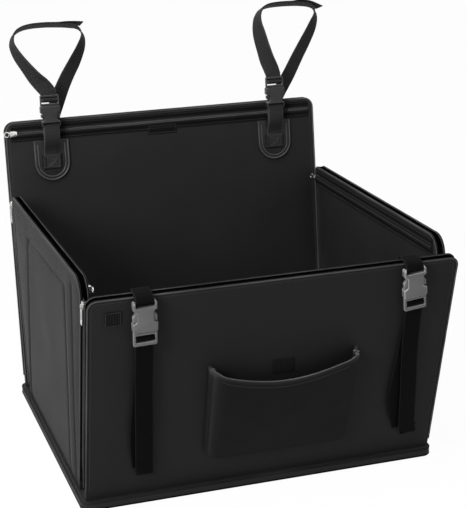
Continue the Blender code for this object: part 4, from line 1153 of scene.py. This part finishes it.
def webbingShape(route, step=4 * mm):
    # a soft-edged strap along a route of (point, across); across is the direction of its width
    stations = smoothRoute(route, step)
    points = [station[0] for station in stations]
    frames = []
    for index, (point, across) in enumerate(stations):
        along = runAt(points, index).normalized()
        face = along.cross(across).normalized()
        frames.append((point, face.cross(along).normalized(), face))
    half = webbing["width"] / 2
    profile = []
    for side in (1, -1):
        for share in (-0.96, -0.88, -0.5, 0, 0.5, 0.88, 0.96):
            lift = {0.96: 0.5, 0.88: 0.95}.get(abs(share), 1.0)
            profile.append((share * side * half, side * lift * webbingHalf))
        profile.append((side * half, 0))
    count = len(profile)

    def spot(u, v):
        x, y = profile[round(u * count) % count]
        point, side, face = frames[round(v * (len(frames) - 1))]
        return point + side * x + face * y

    shape = gridShape(count, len(frames) - 1, spot, (webbing["width"], lengthOf(points)))
    uv = shape.loops.layers.uv.active
    for face in shape.faces:
        for loop in face.loops:
            share = loop[uv].uv.x / webbing["width"] + 0.5
            loop[uv].uv.x = profile[round(share * count) % count][0]
    bmesh.ops.remove_doubles(shape, verts=shape.verts, dist=1e-6)
    ends = [edge for edge in shape.edges if edge.is_boundary]
    bmesh.ops.holes_fill(shape, edges=ends)
    bmesh.ops.recalc_face_normals(shape, faces=shape.faces)
    return shape


def ladderRoute(place, size):
    # round the clip's middle bar: the load strand from behind, the tail out over the end rail
    middle = size["root"] + buckle["slot"] + buckle["barWidth"] / 2
    railLow = middle + buckle["barWidth"] / 2 + buckle["slot"]
    railBack = buckle["clip"] / 2
    reach = math.hypot(buckle["clipBar"], buckle["barWidth"]) / 2 + webbing["touch"] + webbingHalf
    skirt = webbing["touch"] + webbingHalf
    lean = math.sqrt(0.5)
    exitZ = size["frame"] + 2 * layerStep
    tailY = railBack + skirt
    loadY = tailY + layerStep
    tailCorner = (railBack + skirt * lean, railLow - skirt * lean)
    spots = [(loadY, exitZ), (loadY, railLow + layerStep),
             (tailCorner[0] + layerStep * lean, tailCorner[1] - layerStep * lean)]
    for degrees in (0, 36, 72, 108, 144, 180, 215):
        turn = math.radians(degrees)
        spots.append((reach * math.cos(turn), middle - reach * math.sin(turn)))
    spots += [tailCorner, (tailY, railLow + webbing["gap"]), (tailY, exitZ)]
    return [place @ Vector((0, y, z)) for y, z in spots]


def buckleAcross(place):
    across = place.to_3x3() @ Vector((1, 0, 0))
    return across if across.x > 0 else -across


def doubledRoute(middle, spreads, place, size, turns):
    bar = buckle["bar"] / 2 - size["socket"]
    barAcross = buckleAcross(place)
    half = layerStep / 2
    front, rear = [], []
    for index, point in enumerate(middle):
        along = runAt(middle, index).normalized()
        shift = Vector((0, along.z, -along.y)) * (half + (barReach - half) * spreads[index])
        across = sideways.lerp(barAcross, spreads[index])
        front.append((point + shift, across))
        rear.append((point - shift, across))
    around = []
    for step in range(9):
        turn = math.radians(turns[0] + (turns[1] - turns[0]) * step / 8)
        around.append((place @ Vector((0, -barReach * math.cos(turn), bar + barReach * math.sin(turn))),
                       barAcross))
    return front + around + rear[::-1]


def refinedBuckle(name, look, wall):
    refinedNode(name + "_socket", look, wall, buckle["socketBevel"])
    refinedNode(name + "_clip", look, name + "_clip", buckle["clipBevel"])


def squareAt(centre, width, height):
    # the corners of a square that lies in a wall's face
    return [centre + Vector((width * x / 2, 0, height * z / 2))
            for x, z in ((-1, -1), (1, -1), (1, 1), (-1, 1))]


def boxStitches(centre, width, height, out):
    # a sewn box with a cross in it
    corners = squareAt(centre, width, height)
    places = stitchPlaces(corners + [corners[0]], out, stitch["boxPitch"])
    for corner in (0, 1):
        places += stitchPlaces([corners[corner], corners[corner + 2]], out, stitch["boxPitch"])
    return places


head = {"x": 178 * mm, "stand": 24 * mm, "drop": 9 * mm, "tilt": math.radians(2), "spread": 110 * mm,
        "height": 150 * mm, "patchWidth": 54 * mm, "patchLength": 62 * mm, "patchTop": 29 * mm,
        "patchThickness": 1.8 * mm, "patchEdge": 0.6 * mm, "patchSeam": 4 * mm, "boxTop": 51 * mm,
        "boxWidth": 31 * mm, "boxLength": 22 * mm, "sewnWidth": 18 * mm, "sewnHeight": 15 * mm,
        "press": 0.9 * mm, "tailRows": 11, "roll": math.radians(17)}
patchRims = ((1.7 * mm, 1.5 * mm), (6.4 * mm, 1.1 * mm))   # inset, radius
stubShares = [(-0.40, 0.0, 0.0), (0.0, 0.0, 0.0), (0.10, 0.07, 0.0), (0.24, 0.36, 0.0),
              (0.38, 0.74, 0.05), (0.54, 0.97, 0.35), (0.72, 1.03, 0.75), (0.88, 1.0, 1.0)]
# Shares along each loop from its sewn end to the adjuster: across, depth, height and quarter turn
leftLoop = [
    (-0.02, 0.0, -0.22, 0.0), (-0.03, 0.0, -0.14, 0.0), (-0.045, -0.05, -0.04, 0.0),
    (-0.075, -0.07, 0.03, 0.02), (-0.14, 0.06, 0.15, 0.10), (-0.22, 0.14, 0.29, 0.15),
    (-0.31, 0.22, 0.42, 0.22), (-0.42, 0.30, 0.555, 0.31), (-0.515, 0.38, 0.69, 0.50),
    (-0.55, 0.43, 0.785, 0.68), (-0.535, 0.46, 0.85, 0.79), (-0.47, 0.49, 0.898, 0.88),
    (-0.36, 0.53, 0.92, 0.95), (-0.20, 0.57, 0.932, 1.0), (-0.02, 0.61, 0.938, 1.0),
    (0.18, 0.66, 0.932, 1.0), (0.32, 0.71, 0.905, 1.0), (0.40, 0.76, 0.855, 0.99),
    (0.425, 0.80, 0.785, 0.95), (0.40, 0.84, 0.715, 0.86), (0.345, 0.88, 0.635, 0.75),
    (0.25, 0.92, 0.53, 0.62), (0.155, 0.96, 0.43, 0.40), (0.07, 0.99, 0.355, 0.12),
]
rightLoop = [
    (0.0, 0.0, -0.22, 0.0), (-0.03, 0.0, -0.14, 0.0), (-0.07, -0.05, -0.04, 0.0),
    (-0.11, -0.07, 0.03, 0.02), (-0.19, 0.06, 0.13, 0.10), (-0.30, 0.14, 0.26, 0.15),
    (-0.427, 0.22, 0.427, 0.21), (-0.555, 0.30, 0.587, 0.27), (-0.66, 0.38, 0.727, 0.38),
    (-0.715, 0.43, 0.84, 0.58), (-0.70, 0.47, 0.915, 0.76), (-0.63, 0.50, 0.962, 0.88),
    (-0.52, 0.53, 0.982, 0.95), (-0.36, 0.57, 0.99, 1.0), (-0.16, 0.62, 0.99, 1.0),
    (0.00, 0.66, 0.98, 1.0), (0.10, 0.70, 0.95, 0.96), (0.155, 0.74, 0.89, 0.92),
    (0.17, 0.78, 0.81, 0.82), (0.158, 0.83, 0.72, 0.66), (0.135, 0.87, 0.63, 0.57),
    (0.105, 0.91, 0.54, 0.52), (0.07, 0.95, 0.44, 0.38), (0.03, 0.99, 0.355, 0.12),
]
leftTip = [(-0.33, 0.55, 0.945, 1.0), (-0.46, 0.52, 0.940, 1.0), (-0.55, 0.51, 0.932, 1.0)]
rightTip = [(-0.45, 0.55, 1.01, 1.0), (-0.62, 0.53, 0.99, 0.97), (-0.79, 0.50, 0.935, 0.95)]


def headBucklePlace(x):
    end = Matrix.Translation((x, head["stand"], box["backHeight"] - head["drop"]))
    turn = turned(math.pi, "Z") @ turned(head["tilt"], "X")
    return end @ turn @ Matrix.Translation((0, 0, headBuckle["socket"]))


def loopRoute(x, rows, tip):
    ladder = ladderRoute(headBucklePlace(x), headBuckle)
    sewnY = -webbing["touch"] - webbingHalf
    reach = ladder[0].y - sewnY

    def place(row):
        return Vector((x + row[0] * head["spread"], sewnY + row[1] * reach,
                       box["backHeight"] + row[2] * head["height"]))

    points = [place(row) for row in rows]
    top = max(range(len(rows)), key=lambda index: rows[index][2])
    toward = Vector((0, math.cos(head["roll"]), math.sin(head["roll"])))
    route, tail = [], []
    for index, point in enumerate(points):
        turn = rows[index][3] * math.pi / 2
        level = sideways if index < top else -sideways
        across = toward * math.sin(turn) + level * math.cos(turn)
        route.append((point, across))
        tail.append((point + runAt(points, index).cross(across).normalized() * layerStep, across))
    route += [(point, -sideways) for point in ladder]
    route += tail[:-head["tailRows"] - 1:-1]
    for row in tip:
        turn = row[3] * math.pi / 2
        route.append((place(row), toward * math.sin(turn) + sideways * math.cos(turn)))
    return route


def makePatch(name, x):
    # a U-shaped pressed patch: a thin plate, two raised rims round it and a box over the webbing
    top = box["backHeight"] - head["patchTop"]
    half = head["patchWidth"] / 2
    centreZ = top - head["patchLength"] + half
    face = box["thickness"] + webbing["touch"]

    def outline(shrink):
        radius = half - shrink
        arc = [Vector((radius, 0, top - centreZ - shrink))]
        arc += [Vector((radius, 0, (top - centreZ - shrink) * share)) for share in (0.66, 0.33)]
        arc += [Vector((radius * math.cos(turn), 0, radius * math.sin(turn)))
                for turn in (-math.pi * step / 24 for step in range(25))]
        arc += [Vector((-radius, 0, (top - centreZ - shrink) * share)) for share in (0.33, 0.66, 1)]
        return [Vector((x, 0, centreZ)) + point for point in arc]

    shape = bmesh.new()
    bmesh.ops.contextual_create(shape, geom=[shape.verts.new(point + Vector((0, face, 0)))
                                             for point in outline(0)])
    slabbed(shape, (0, head["patchThickness"], 0), head["patchEdge"], 3)
    parts = [meshOf(shape)]
    level = Vector((0, face + head["patchThickness"], 0))
    for shrink, radius in patchRims:
        parts.append(cord([point + level for point in outline(shrink)], radius, 4))
    boxTop = box["backHeight"] - head["boxTop"]

    def coverSpot(u, v):
        # over the webbing, pressed in along the sewn square and its cross
        left, low = (u - 0.5) * head["boxWidth"], (v - 0.5) * head["boxLength"]
        rise = (stackHeight + 0.2 * mm) * min(1, min(u, 1 - u) * 9) ** 0.6 * min(1, v * 7) ** 0.6
        across, up = abs(left) * 2 / head["sewnWidth"], abs(low) * 2 / head["sewnHeight"]
        fromCross = abs(across - up) * 6 * mm if max(across, up) <= 1 else math.inf
        fromThread = min(abs(max(across, up) - 1) * 8 * mm, fromCross)
        rise -= head["press"] * math.exp(-(fromThread / (1.1 * mm)) ** 2)
        return Vector((x + left, face + head["patchThickness"] + max(0, rise),
                       boxTop - head["boxLength"] * (1 - v)))

    cover = gridShape(48, 36, coverSpot)
    bmesh.ops.solidify(cover, geom=cover.faces[:], thickness=0.7 * mm)
    parts.append(meshOf(cover))
    shape = joined(parts)
    bmesh.ops.recalc_face_normals(shape, faces=shape.faces)
    shape.normal_update()

    # painted highlight: the crests of the rims, and a little of the box, are drawn paler where they face
    # out
    def wearAndPaintedLight(vert):
        high = vert.co.y > face + head["patchThickness"] + 0.3 * mm
        onRim = abs(vert.co.x - x) > 16 * mm or vert.co.z < boxTop - head["boxLength"]
        return high * max(0, vert.normal.y) ** 2 * (0.5 if onRim else 0.12)

    markWearAndPaintedLight(shape, wearAndPaintedLight)
    flatUvs(shape)
    onWall(name, shape, "patch", "back_wall", stands=[name])
    seam = [point + level for point in outline(head["patchSeam"])]
    places = stitchPlaces(seam, inward, stitch["finePitch"])
    centre = Vector((x, face + head["patchThickness"] + stackHeight + 0.1 * mm,
                     boxTop - head["boxLength"] / 2))
    places += boxStitches(centre, head["sewnWidth"], head["sewnHeight"], inward)
    sew(name, places, "back_wall")


def makeHeadStrap(side, x, rows, tip):
    name = side + "_head_strap"
    place = headBucklePlace(x)
    back = wallFrames["back_wall"]
    makePatch(name + "_patch", x)
    lowY = box["thickness"] + webbing["touch"] + stackHeight / 2
    boxTop = box["backHeight"] - head["boxTop"]
    rise = box["backHeight"] - head["drop"] + buckle["bar"] / 2 - boxTop
    middle = [Vector((x, lowY + (head["stand"] - lowY) * depth, boxTop + rise * height))
              for height, depth, spread in stubShares]
    route = doubledRoute(middle, [spread for _, _, spread in stubShares], place, headBuckle, (0, 180))
    # the head strap's webbing and loop take the lit copy of the webbing
    onWall(name + "_webbing", webbingShape(route), "loop", "back_wall", stands=[name + "_stub"])
    # the shaded copy of the buckle plastic
    refinedBuckle(name, "shadedPlastic", "back_wall")
    loop = addPiece(name + "_lit_loop_webbing", webbingShape(loopRoute(x, rows, tip)), "loop", None, back,
                    stands=[name + "_loop"])
    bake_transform(loop)


makeHeadStrap("left", head["x"], leftLoop, leftTip)
makeHeadStrap("right", -head["x"], rightLoop, rightTip)
print("headrest straps made")


front = {"stand": 7.5 * mm, "drop": 2 * mm, "tilt": math.radians(3), "innerDrop": 3 * mm, "bend": 1.6 * mm,
         "hemHeight": 37 * mm, "hemLength": 12 * mm, "kick": 0.9 * mm, "sewnHeight": 46 * mm,
         "hemRows": (2.2 * mm, 4.4 * mm, 9.6 * mm, 11.2 * mm), "rowHalf": 11 * mm}
anchorShares = [(0.45, 0.10, 0.1), (0.80, 0.40, 0.6)]
sewnLeg = [(0.0, 0.40, 0.0), (0.06, 0.22, 0.10), (0.15, -0.12, 0.45), (0.27, -0.32, 0.70),
           (0.42, -0.28, 0.85), (0.60, -0.15, 0.90), (0.80, -0.05, 0.85)]
freeLeg = [(0.82, 0.02, 1.30), (0.62, 0.15, 1.45), (0.42, 0.38, 1.35), (0.22, 0.60, 1.10),
           (0.06, 0.80, 0.80)]


def frontBucklePlace(x, swing):
    end = Matrix.Translation((x, -front["stand"], box["frontHeight"] - front["drop"]))
    turn = turned(math.pi - swing, "Y") @ turned(front["tilt"], "X")
    return end @ turn @ Matrix.Translation((0, 0, frontBuckle["socket"]))


def anchorRoute(x, place):
    half = layerStep / 2
    rimZ = box["frontHeight"] + piping["radius"] + webbing["touch"] + webbingHalf + half
    innerY = box["thickness"] + piping["stand"] + webbing["touch"] + webbingHalf + half
    bar = place @ Vector((0, 0, buckle["bar"] / 2 - frontBuckle["socket"]))
    edge = Vector((x, piping["radius"], rimZ))
    middle = [Vector((x, innerY, box["frontHeight"] - front["innerDrop"])),
              Vector((x, innerY, rimZ - front["bend"])),
              Vector((x, innerY - front["bend"], rimZ)), edge]
    spreads = [0] * len(middle)
    for depth, drop, spread in anchorShares:
        middle.append(Vector((x, edge.y + (bar.y - edge.y) * depth, edge.z + (bar.z - edge.z) * drop)))
        spreads.append(spread)
    return doubledRoute(middle, spreads, place, frontBuckle, (-40, 200))


def tailRoute(x, drift, place):
    ladder = ladderRoute(place, frontBuckle)
    barAcross = buckleAcross(place)
    sewnY = -webbing["touch"] - webbingHalf
    high = ladder[0]
    route = []
    for height, side, stand in sewnLeg:
        point = Vector((high.x + side * drift, sewnY + stand * (high.y - sewnY),
                        front["sewnHeight"] + height * (high.z - front["sewnHeight"])))
        route.append((point, sideways.lerp(barAcross, height * height)))
    route += [(point, barAcross) for point in ladder]
    for height, side, stand in freeLeg:
        point = Vector((high.x + side * drift, sewnY - webbing["thickness"] + stand * (high.y - sewnY),
                        front["hemHeight"] + height * (high.z - front["hemHeight"])))
        route.append((point, sideways.lerp(barAcross, height * height)))
    end = Vector((high.x + drift, point.y + front["kick"], front["hemHeight"]))
    hem = [end, end + Vector((0, layerStep / 2, -layerStep / 2)), end + Vector((0, layerStep, 0)),
           end + Vector((0, layerStep, front["hemLength"]))]
    return route + [(point, sideways) for point in hem], high, end


def makeFrontStrap(side, x, swing, drift):
    name = side + "_front_strap"
    place = frontBucklePlace(x, swing)
    wall = wallFrames["front_wall"]
    # the front straps take the shaded copy of the webbing
    onWall(name + "_anchor_webbing", webbingShape(anchorRoute(x, place), 3 * mm), "strap", "front_wall",
           stands=[name + "_anchor"])
    # the lit copy of the buckle plastic
    refinedBuckle(name, "plastic", "front_wall")
    route, high, end = tailRoute(x, drift, place)
    tail = addPiece(name + "_hanging_webbing", webbingShape(route), "strap", None, wall,
                    stands=[name + "_tail"])
    places = []
    for rise in front["hemRows"]:
        level = end + Vector((0, -webbingHalf - 0.05 * mm, rise))
        places += stitchPlaces([level - sideways * front["rowHalf"], level + sideways * front["rowHalf"]],
                               outward, stitch["finePitch"])
    hem = sew(name + "_hem", places, None, wall)
    for piece in (tail, hem):
        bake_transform(piece)


frontStraps = {"left": (-178 * mm, math.radians(2), 8 * mm), "right": (181 * mm, math.radians(7), 19 * mm)}
for side, (x, swing, drift) in frontStraps.items():
    makeFrontStrap(side, x, swing, drift)
print("front straps made")


# The pocket: a panel with a two-pleat gusset at each side, hemmed at its mouth

pocket = {"x": 15 * mm, "width": 194 * mm, "foot": 43 * mm, "height": 142 * mm, "sag": 19 * mm,
          "depth": 17 * mm, "cloth": 0.8 * mm, "seam": 5.5 * mm, "pleat": 6 * mm, "ear": 4 * mm,
          "narrowing": 8 * mm, "hem": 9 * mm, "roll": 0.36, "rollReach": 12 * mm, "round": 11 * mm}
gussetShares = [(-0.55, 0.0), (-0.8, 0.10), (-0.55, 0.24), (0.30, 0.38), (-0.45, 0.52), (-0.7, 0.62),
                (0.25, 0.76), (-0.05, 0.90), (0.0, 1.0)]


def pocketSection(rise):
    # from the wall round one gusset, across the panel and back to the wall, always 101 points
    half = pocket["width"] / 2
    right = half - pocket["narrowing"] * (1 - rise) ** 1.3
    edgeDepth = pocket["seam"] + (pocket["depth"] - pocket["seam"]) * rise
    left = [Vector((pocket["pleat"] * side - half, edgeDepth * depth, 0)) for side, depth in gussetShares]
    far = [Vector((right - pocket["pleat"] * side, edgeDepth * depth, 0)) for side, depth in gussetShares]
    far[0].x = half + pocket["pleat"] * 0.4
    across = []
    for column in range(1, 9):
        share = column / 9
        crown = pocket["depth"] * 0.14 * math.sin(math.pi * share) * rise
        across.append(Vector((left[-1].x + (right - left[-1].x) * share, edgeDepth + crown, 0)))
    stations = [(point,) for point in left + across + far[::-1]]
    section = [station[0] for station in smoothRoute(stations, 0, fixed=4)]
    for point in section:
        fromLeft = max(0, point.x + half)
        point.y *= 1 - pocket["roll"] * math.exp(-(fromLeft / pocket["rollReach"]) ** 2)
    return section


def pocketSpot(point, rise):
    # a section's point at its height on the wall
    share = max(0, min(1, point.x / pocket["width"] + 0.5))
    sag = pocket["sag"] * math.sin(math.pi * share) * rise * rise
    ear = pocket["ear"] * math.exp(-(min(share, 1 - share) / 0.03) ** 2) * rise ** 6
    slack = noise.noise(Vector((point.x * 14, rise * 2.2, 5.1)))
    slack += 0.5 * noise.noise(Vector((point.x * 37, rise * 5, 1.7)))
    bulge = 1.8 * mm * slack * math.sin(math.pi * min(1, 1.15 * rise)) * min(1, 6 * min(share, 1 - share))
    short = max(0, pocket["round"] - share * pocket["width"])
    rounding = pocket["round"] - math.sqrt(pocket["round"] ** 2 - short ** 2)
    y = -webbing["touch"] - pocket["cloth"] / 2 - max(0, point.y + bulge)
    lift = rounding * (1 - rise) ** 4 - sag + ear
    return Vector((pocket["x"] + point.x, y, pocket["foot"] + pocket["height"] * rise + lift))


def makePocket():
    rows = 40
    sections = [pocketSection(math.sqrt(row / rows)) for row in range(rows + 1)]
    columns = len(sections[0]) - 1

    def spot(u, v):
        row = round(v * rows)
        return pocketSpot(sections[row][round(u * columns)], row / rows)

    width = pocket["width"] + 4 * pocket["depth"]
    sheet = gridShape(columns, rows, spot, (width, pocket["height"]))
    shape = joined([applied(thickened(sheet, pocket["cloth"]), "SUBSURF", levels=1, render_levels=1)])

    # paler just under the mouth, and a painted highlight along the left side
    def wearAndPaintedLight(vert):
        x = vert.co.x - pocket["x"]
        sag = pocket["sag"] * math.sin(math.pi * max(0, min(1, x / pocket["width"] + 0.5)))
        below = pocket["foot"] + pocket["height"] - sag - vert.co.z
        left = abs(x + pocket["width"] / 2)
        return 0.9 * math.exp(-max(0, below) / (2.5 * mm)) + 0.5 * math.exp(-left / (5 * mm))

    markWearAndPaintedLight(shape, wearAndPaintedLight)
    flatUvs(shape)
    onWall("front_pocket_cloth", shape, "pocket", "front_wall", stands=["front_pocket"], sharp=80)
    # the folded edge of the mouth, its stitches, and a bar of stitches at each corner
    mouth = [pocketSpot(point, 1) for point in sections[-1]]
    bead = joined([cord([point + Vector((0, 0, 0.2 * mm)) for point in mouth[8:-8]], 0.9 * mm, 3)])
    # the bead is drawn in the piping's pale tone all over
    markWearAndPaintedLight(bead, lambda vert: 0.8)
    flatUvs(bead)
    onWall("front_pocket_mouth", bead, "binding", "front_wall")
    drop = Vector((0, -pocket["cloth"] / 2 - 0.1 * mm, -pocket["hem"]))
    places = stitchPlaces([point + drop for point in mouth[34:-34]], outward)
    for corner, side in ((mouth[2], 1), (mouth[-3], -1)):
        for bar in range(5):
            low = corner + Vector((side * (bar - 2) * mm, -0.6 * mm, -3 * mm))
            high = low + Vector((side * 0.4 * mm, 0, 6 * mm))
            places += stitchPlaces([low, high], outward, stitch["tackPitch"])
    sew("front_pocket", places, "front_wall")


makePocket()
tapeSheet = 0.4 * mm
hook = {"width": 29 * mm, "height": 22 * mm, "thickness": 1.1 * mm, "top": 187 * mm}


def makeHookPatch():
    def spot(u, v):
        edge = min(u, 1 - u, v, 1 - v)
        return Vector((pocket["x"] + hook["width"] * (u - 0.5),
                       -webbing["touch"] - hook["thickness"] * min(1, 0.5 + edge * 9),
                       hook["top"] - hook["height"] * (1 - v)))

    onWall("pocket_hook_tape", thickened(gridShape(24, 18, spot), tapeSheet), "hook", "front_wall",
           stands=["pocket_hook_patch"])


makeHookPatch()
square = {"x": -215 * mm, "z": 281 * mm, "size": 22 * mm, "tabX": 3.5 * mm, "tabZ": 375 * mm,
          "tabWidth": 46 * mm, "tabHeight": 14 * mm, "thickness": 0.8 * mm, "seam": 1.6 * mm}


def flatTape(name, look, wall, centre, width, height, side):
    # a small flat piece sewn on all round; side is -1 on a wall's outer face and 1 on its inner face
    def spot(u, v):
        edge = min(min(u, 1 - u) * width, min(v, 1 - v) * height)
        lift = square["thickness"] * (0.45 + 0.55 * min(1, edge / (1.2 * mm)))
        return centre + Vector((width * (u - 0.5), side * lift, height * (v - 0.5)))

    sheet = gridShape(24, 12, spot, (width, height))
    onWall(name, thickened(sheet, tapeSheet), look, wall)
    out = Vector((0, side, 0))
    raised = centre + out * (square["thickness"] + 0.25 * mm)
    corners = squareAt(raised, width - 2 * square["seam"], height - 2 * square["seam"])
    sew(name, stitchPlaces(corners + [corners[0]], out, stitch["finePitch"]), wall)


flatTape("front_loop_square", "hook", "front_wall", Vector((square["x"], 0, square["z"])),
         square["size"], square["size"], -1)
flatTape("back_wall_tab", "zipTape", "back_wall",
         Vector((square["tabX"], box["thickness"], square["tabZ"])),
         square["tabWidth"], square["tabHeight"], 1)
print("pocket made")


# Floor, light and background

def makeStage():
    shape = bmesh.new()
    bmesh.ops.create_grid(shape, x_segments=1, y_segments=1, size=30)
    mesh = meshOf(shape)
    mesh.name = "floor"
    finish = Finish("floor_paper", {"Roughness": 0.9, "Specular IOR Level": 0.1})
    camera, seen = finish.backdropRays()
    finish.paint(Base_Color=finish.blend(camera, grey(0.42), grey(0.88)))
    glow = finish.node("ShaderNodeEmission", {}, {"Color": (1, 1, 1, 1), "Strength": 1.0})
    finish.shown(seen * 0.97, finish.shader, glow)
    mesh.materials.append(finish.material)
    floor = bpy.data.objects.new("floor", mesh)
    bpy.context.scene.collection.objects.link(floor)


lamps = {
    "key": {"place": (-1.42, -1.08, 1.12), "size": 0.7, "power": 30},
    "top": {"place": (-0.8, -0.45, 2.4), "size": 1.2, "power": 40},
    "front": {"place": (0.9, -2.9, 1.5), "size": 1.8, "power": 5},
}


def addLamp(name, settings):
    lamp = bpy.data.objects.new(name, bpy.data.lights.new(name, "AREA"))
    lamp.data.energy = settings["power"]
    lamp.data.size = settings["size"]
    lamp.location = settings["place"]
    aim = Vector((0, 0, 0.2)) - lamp.location
    lamp.rotation_euler = aim.to_track_quat("-Z", "Y").to_euler()
    bpy.context.scene.collection.objects.link(lamp)


def makeWorld():
    world = bpy.data.worlds.new("studio")
    bpy.context.scene.world = world
    sky = Finish("sky", {"Color": (1, 1, 1, 1), "Strength": 0.16}, world)
    white = sky.node("ShaderNodeBackground", {}, {"Color": (1, 1, 1, 1), "Strength": 1.0})
    sky.shown(sky.backdropRays()[1], sky.shader, white)


makeStage()
makeWorld()
for name, settings in lamps.items():
    addLamp(name, settings)
bpy.context.scene.view_settings.view_transform = "Standard"
print("light set")
